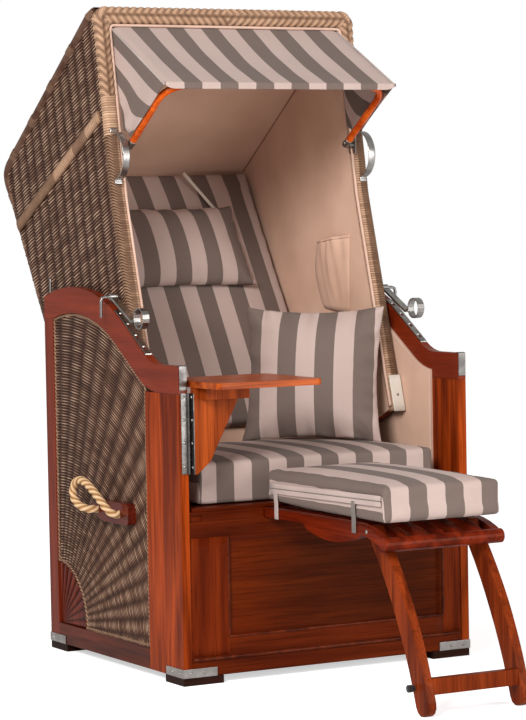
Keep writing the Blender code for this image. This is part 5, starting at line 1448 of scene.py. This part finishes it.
def shell(rows, thick):
    """Closed thin sheet from a grid of points: both faces and the edges between."""
    down = len(rows)
    across = len(rows[0])
    points = []
    for layer in (0.5, -0.5):
        for i in range(down):
            for j in range(across):
                u = rows[i][min(j + 1, across - 1)] - rows[i][max(j - 1, 0)]
                v = rows[min(i + 1, down - 1)][j] - rows[max(i - 1, 0)][j]
                points.append(rows[i][j] + u.cross(v).normalized() * (layer * thick))
    faces = []
    size = down * across
    for i in range(down - 1):
        for j in range(across - 1):
            k = i * across + j
            faces.append((k, k + 1, k + across + 1, k + across))
            faces.append((size + k, size + k + across, size + k + across + 1, size + k + 1))
    rim = [j for j in range(across)] + [i * across + across - 1 for i in range(1, down)]
    rim += [(down - 1) * across + j for j in range(across - 2, -1, -1)]
    rim += [i * across for i in range(down - 2, 0, -1)]
    for a, b in zip(rim, rim[1:] + rim[:1]):
        faces.append((b, a, size + a, size + b))
    return points, faces


def awning_cover():
    """Striped cover from under the rim over the bow, with gussets, as one curved sheet."""
    pivot = Vector(BOW_PIVOT)
    front, roof, _ = hood_lines(RIM_TOP_HEIGHT - RIM_PROUD + COVER_ROOT_DROP, RIM_DEPTH / 2)
    root = meet(*front, *roof)
    bar = pivot + Vector((-math.cos(BOW_RISE), math.sin(BOW_RISE))) * BOW_LENGTH
    run = (bar - root).normalized()
    above = Vector((run.y, -run.x))
    lip = bar + above * COVER_CLEAR + run * COVER_CLEAR
    half = COVER_HALF_WIDTH
    along = 44
    across = 72
    down = 14
    rows = []
    stripes = []
    for j in range(along + 1):
        v = j / along
        edge = root.lerp(lip, v)
        low = edge.lerp(pivot, GUSSET_RATIO)
        row = []
        for i in range(-down, across + down + 1):
            if i < 0 or i > across:
                step = -i if i < 0 else i - across
                side = -1 if i < 0 else 1
                part = step / down
                p = edge.lerp(low, part)
                pull = 0.010 * math.sin(math.pi * part) * math.sin(math.pi * min(v * 1.1, 1.0))
                ripple = 0.0025 * math.sin(9 * v + 5 * part) * part
                row.append(at(side * (half - pull + ripple), p.x, p.y))
                fall = (edge - low).length * part
                stripes.append(side * (half + fall))
            else:
                s = 2 * i / across - 1
                sag = COVER_SAG * math.sin(math.pi * v) * (1 - s * s)
                slack = 0.0022 * noise.noise(Vector((s * 5, v * 4, 2.0))) * math.sin(math.pi * v)
                shoulder = 0.006 * max(0.0, (abs(s) - 0.94) / 0.06) ** 2
                row.append(at(half * s, edge.x, edge.y - sag - shoulder + slack))
                stripes.append(half * s)
        rows.append(row)
    points, faces = shell(rows, COVER_THICK)
    scale = STRIPE / AWNING_STRIPE
    shifted = [u * scale + 0.5 * STRIPE for u in stripes]
    cover = piece("awning_sheet", points, faces, MATERIALS["stripes"], None,
                  {"stripe": shifted + shifted})
    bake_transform(cover)
    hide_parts("awning_cover")
    hem_rows = []
    hem_stripes = []
    for j in range(9):
        row = []
        for i in range(across + 1):
            s = 2 * i / across - 1
            drop = COVER_HEM * j / 8 * (0.30 + 0.70 * min(1.0, (1 - abs(s)) / 0.07) ** 0.5)
            swing = 0.0015 * math.sin(17 * s) * j / 8
            row.append(at(half * s, lip.x - 0.001 + swing, lip.y + 0.0015 - drop))
            hem_stripes.append(half * s * scale + 0.5 * STRIPE)
        hem_rows.append(row)
    points, faces = shell(hem_rows, COVER_THICK)
    hem = piece("awning_hem", points, faces, MATERIALS["stripes"], "awning",
                {"stripe": hem_stripes + hem_stripes})
    seams = []
    for sign in (-1, 1):
        edge_line = [at(sign * (half + 0.0005), *(root.lerp(lip, v / 20) + Vector((0, -0.004))))
                     for v in range(21)]
        seams.append(edge_line)
    welts = []
    for line in seams:
        welts.append(tube("", spaced(line, 0.006), (0.0026, 0.0026), None, None, flat_relief, 8,
                          build=False))
    welt = merged("awning_welts", welts, MATERIALS["webbing"], None)
    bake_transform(welt)


MATERIALS = make_materials()
set_camera()
set_light()
set_floor()
dress_nodes()
rope_handles()
hood_weave()
hood_edges()
hood_rim()
hood_piping()
ceiling_seams()
side_panels()
fan_rays()
cushions()
awning_cover()
bow_ends()
hand_rings()
screws()
footrest_straps()
hood_pocket()
head_strap()
front_frame()
rear_pins()
leg_knob()
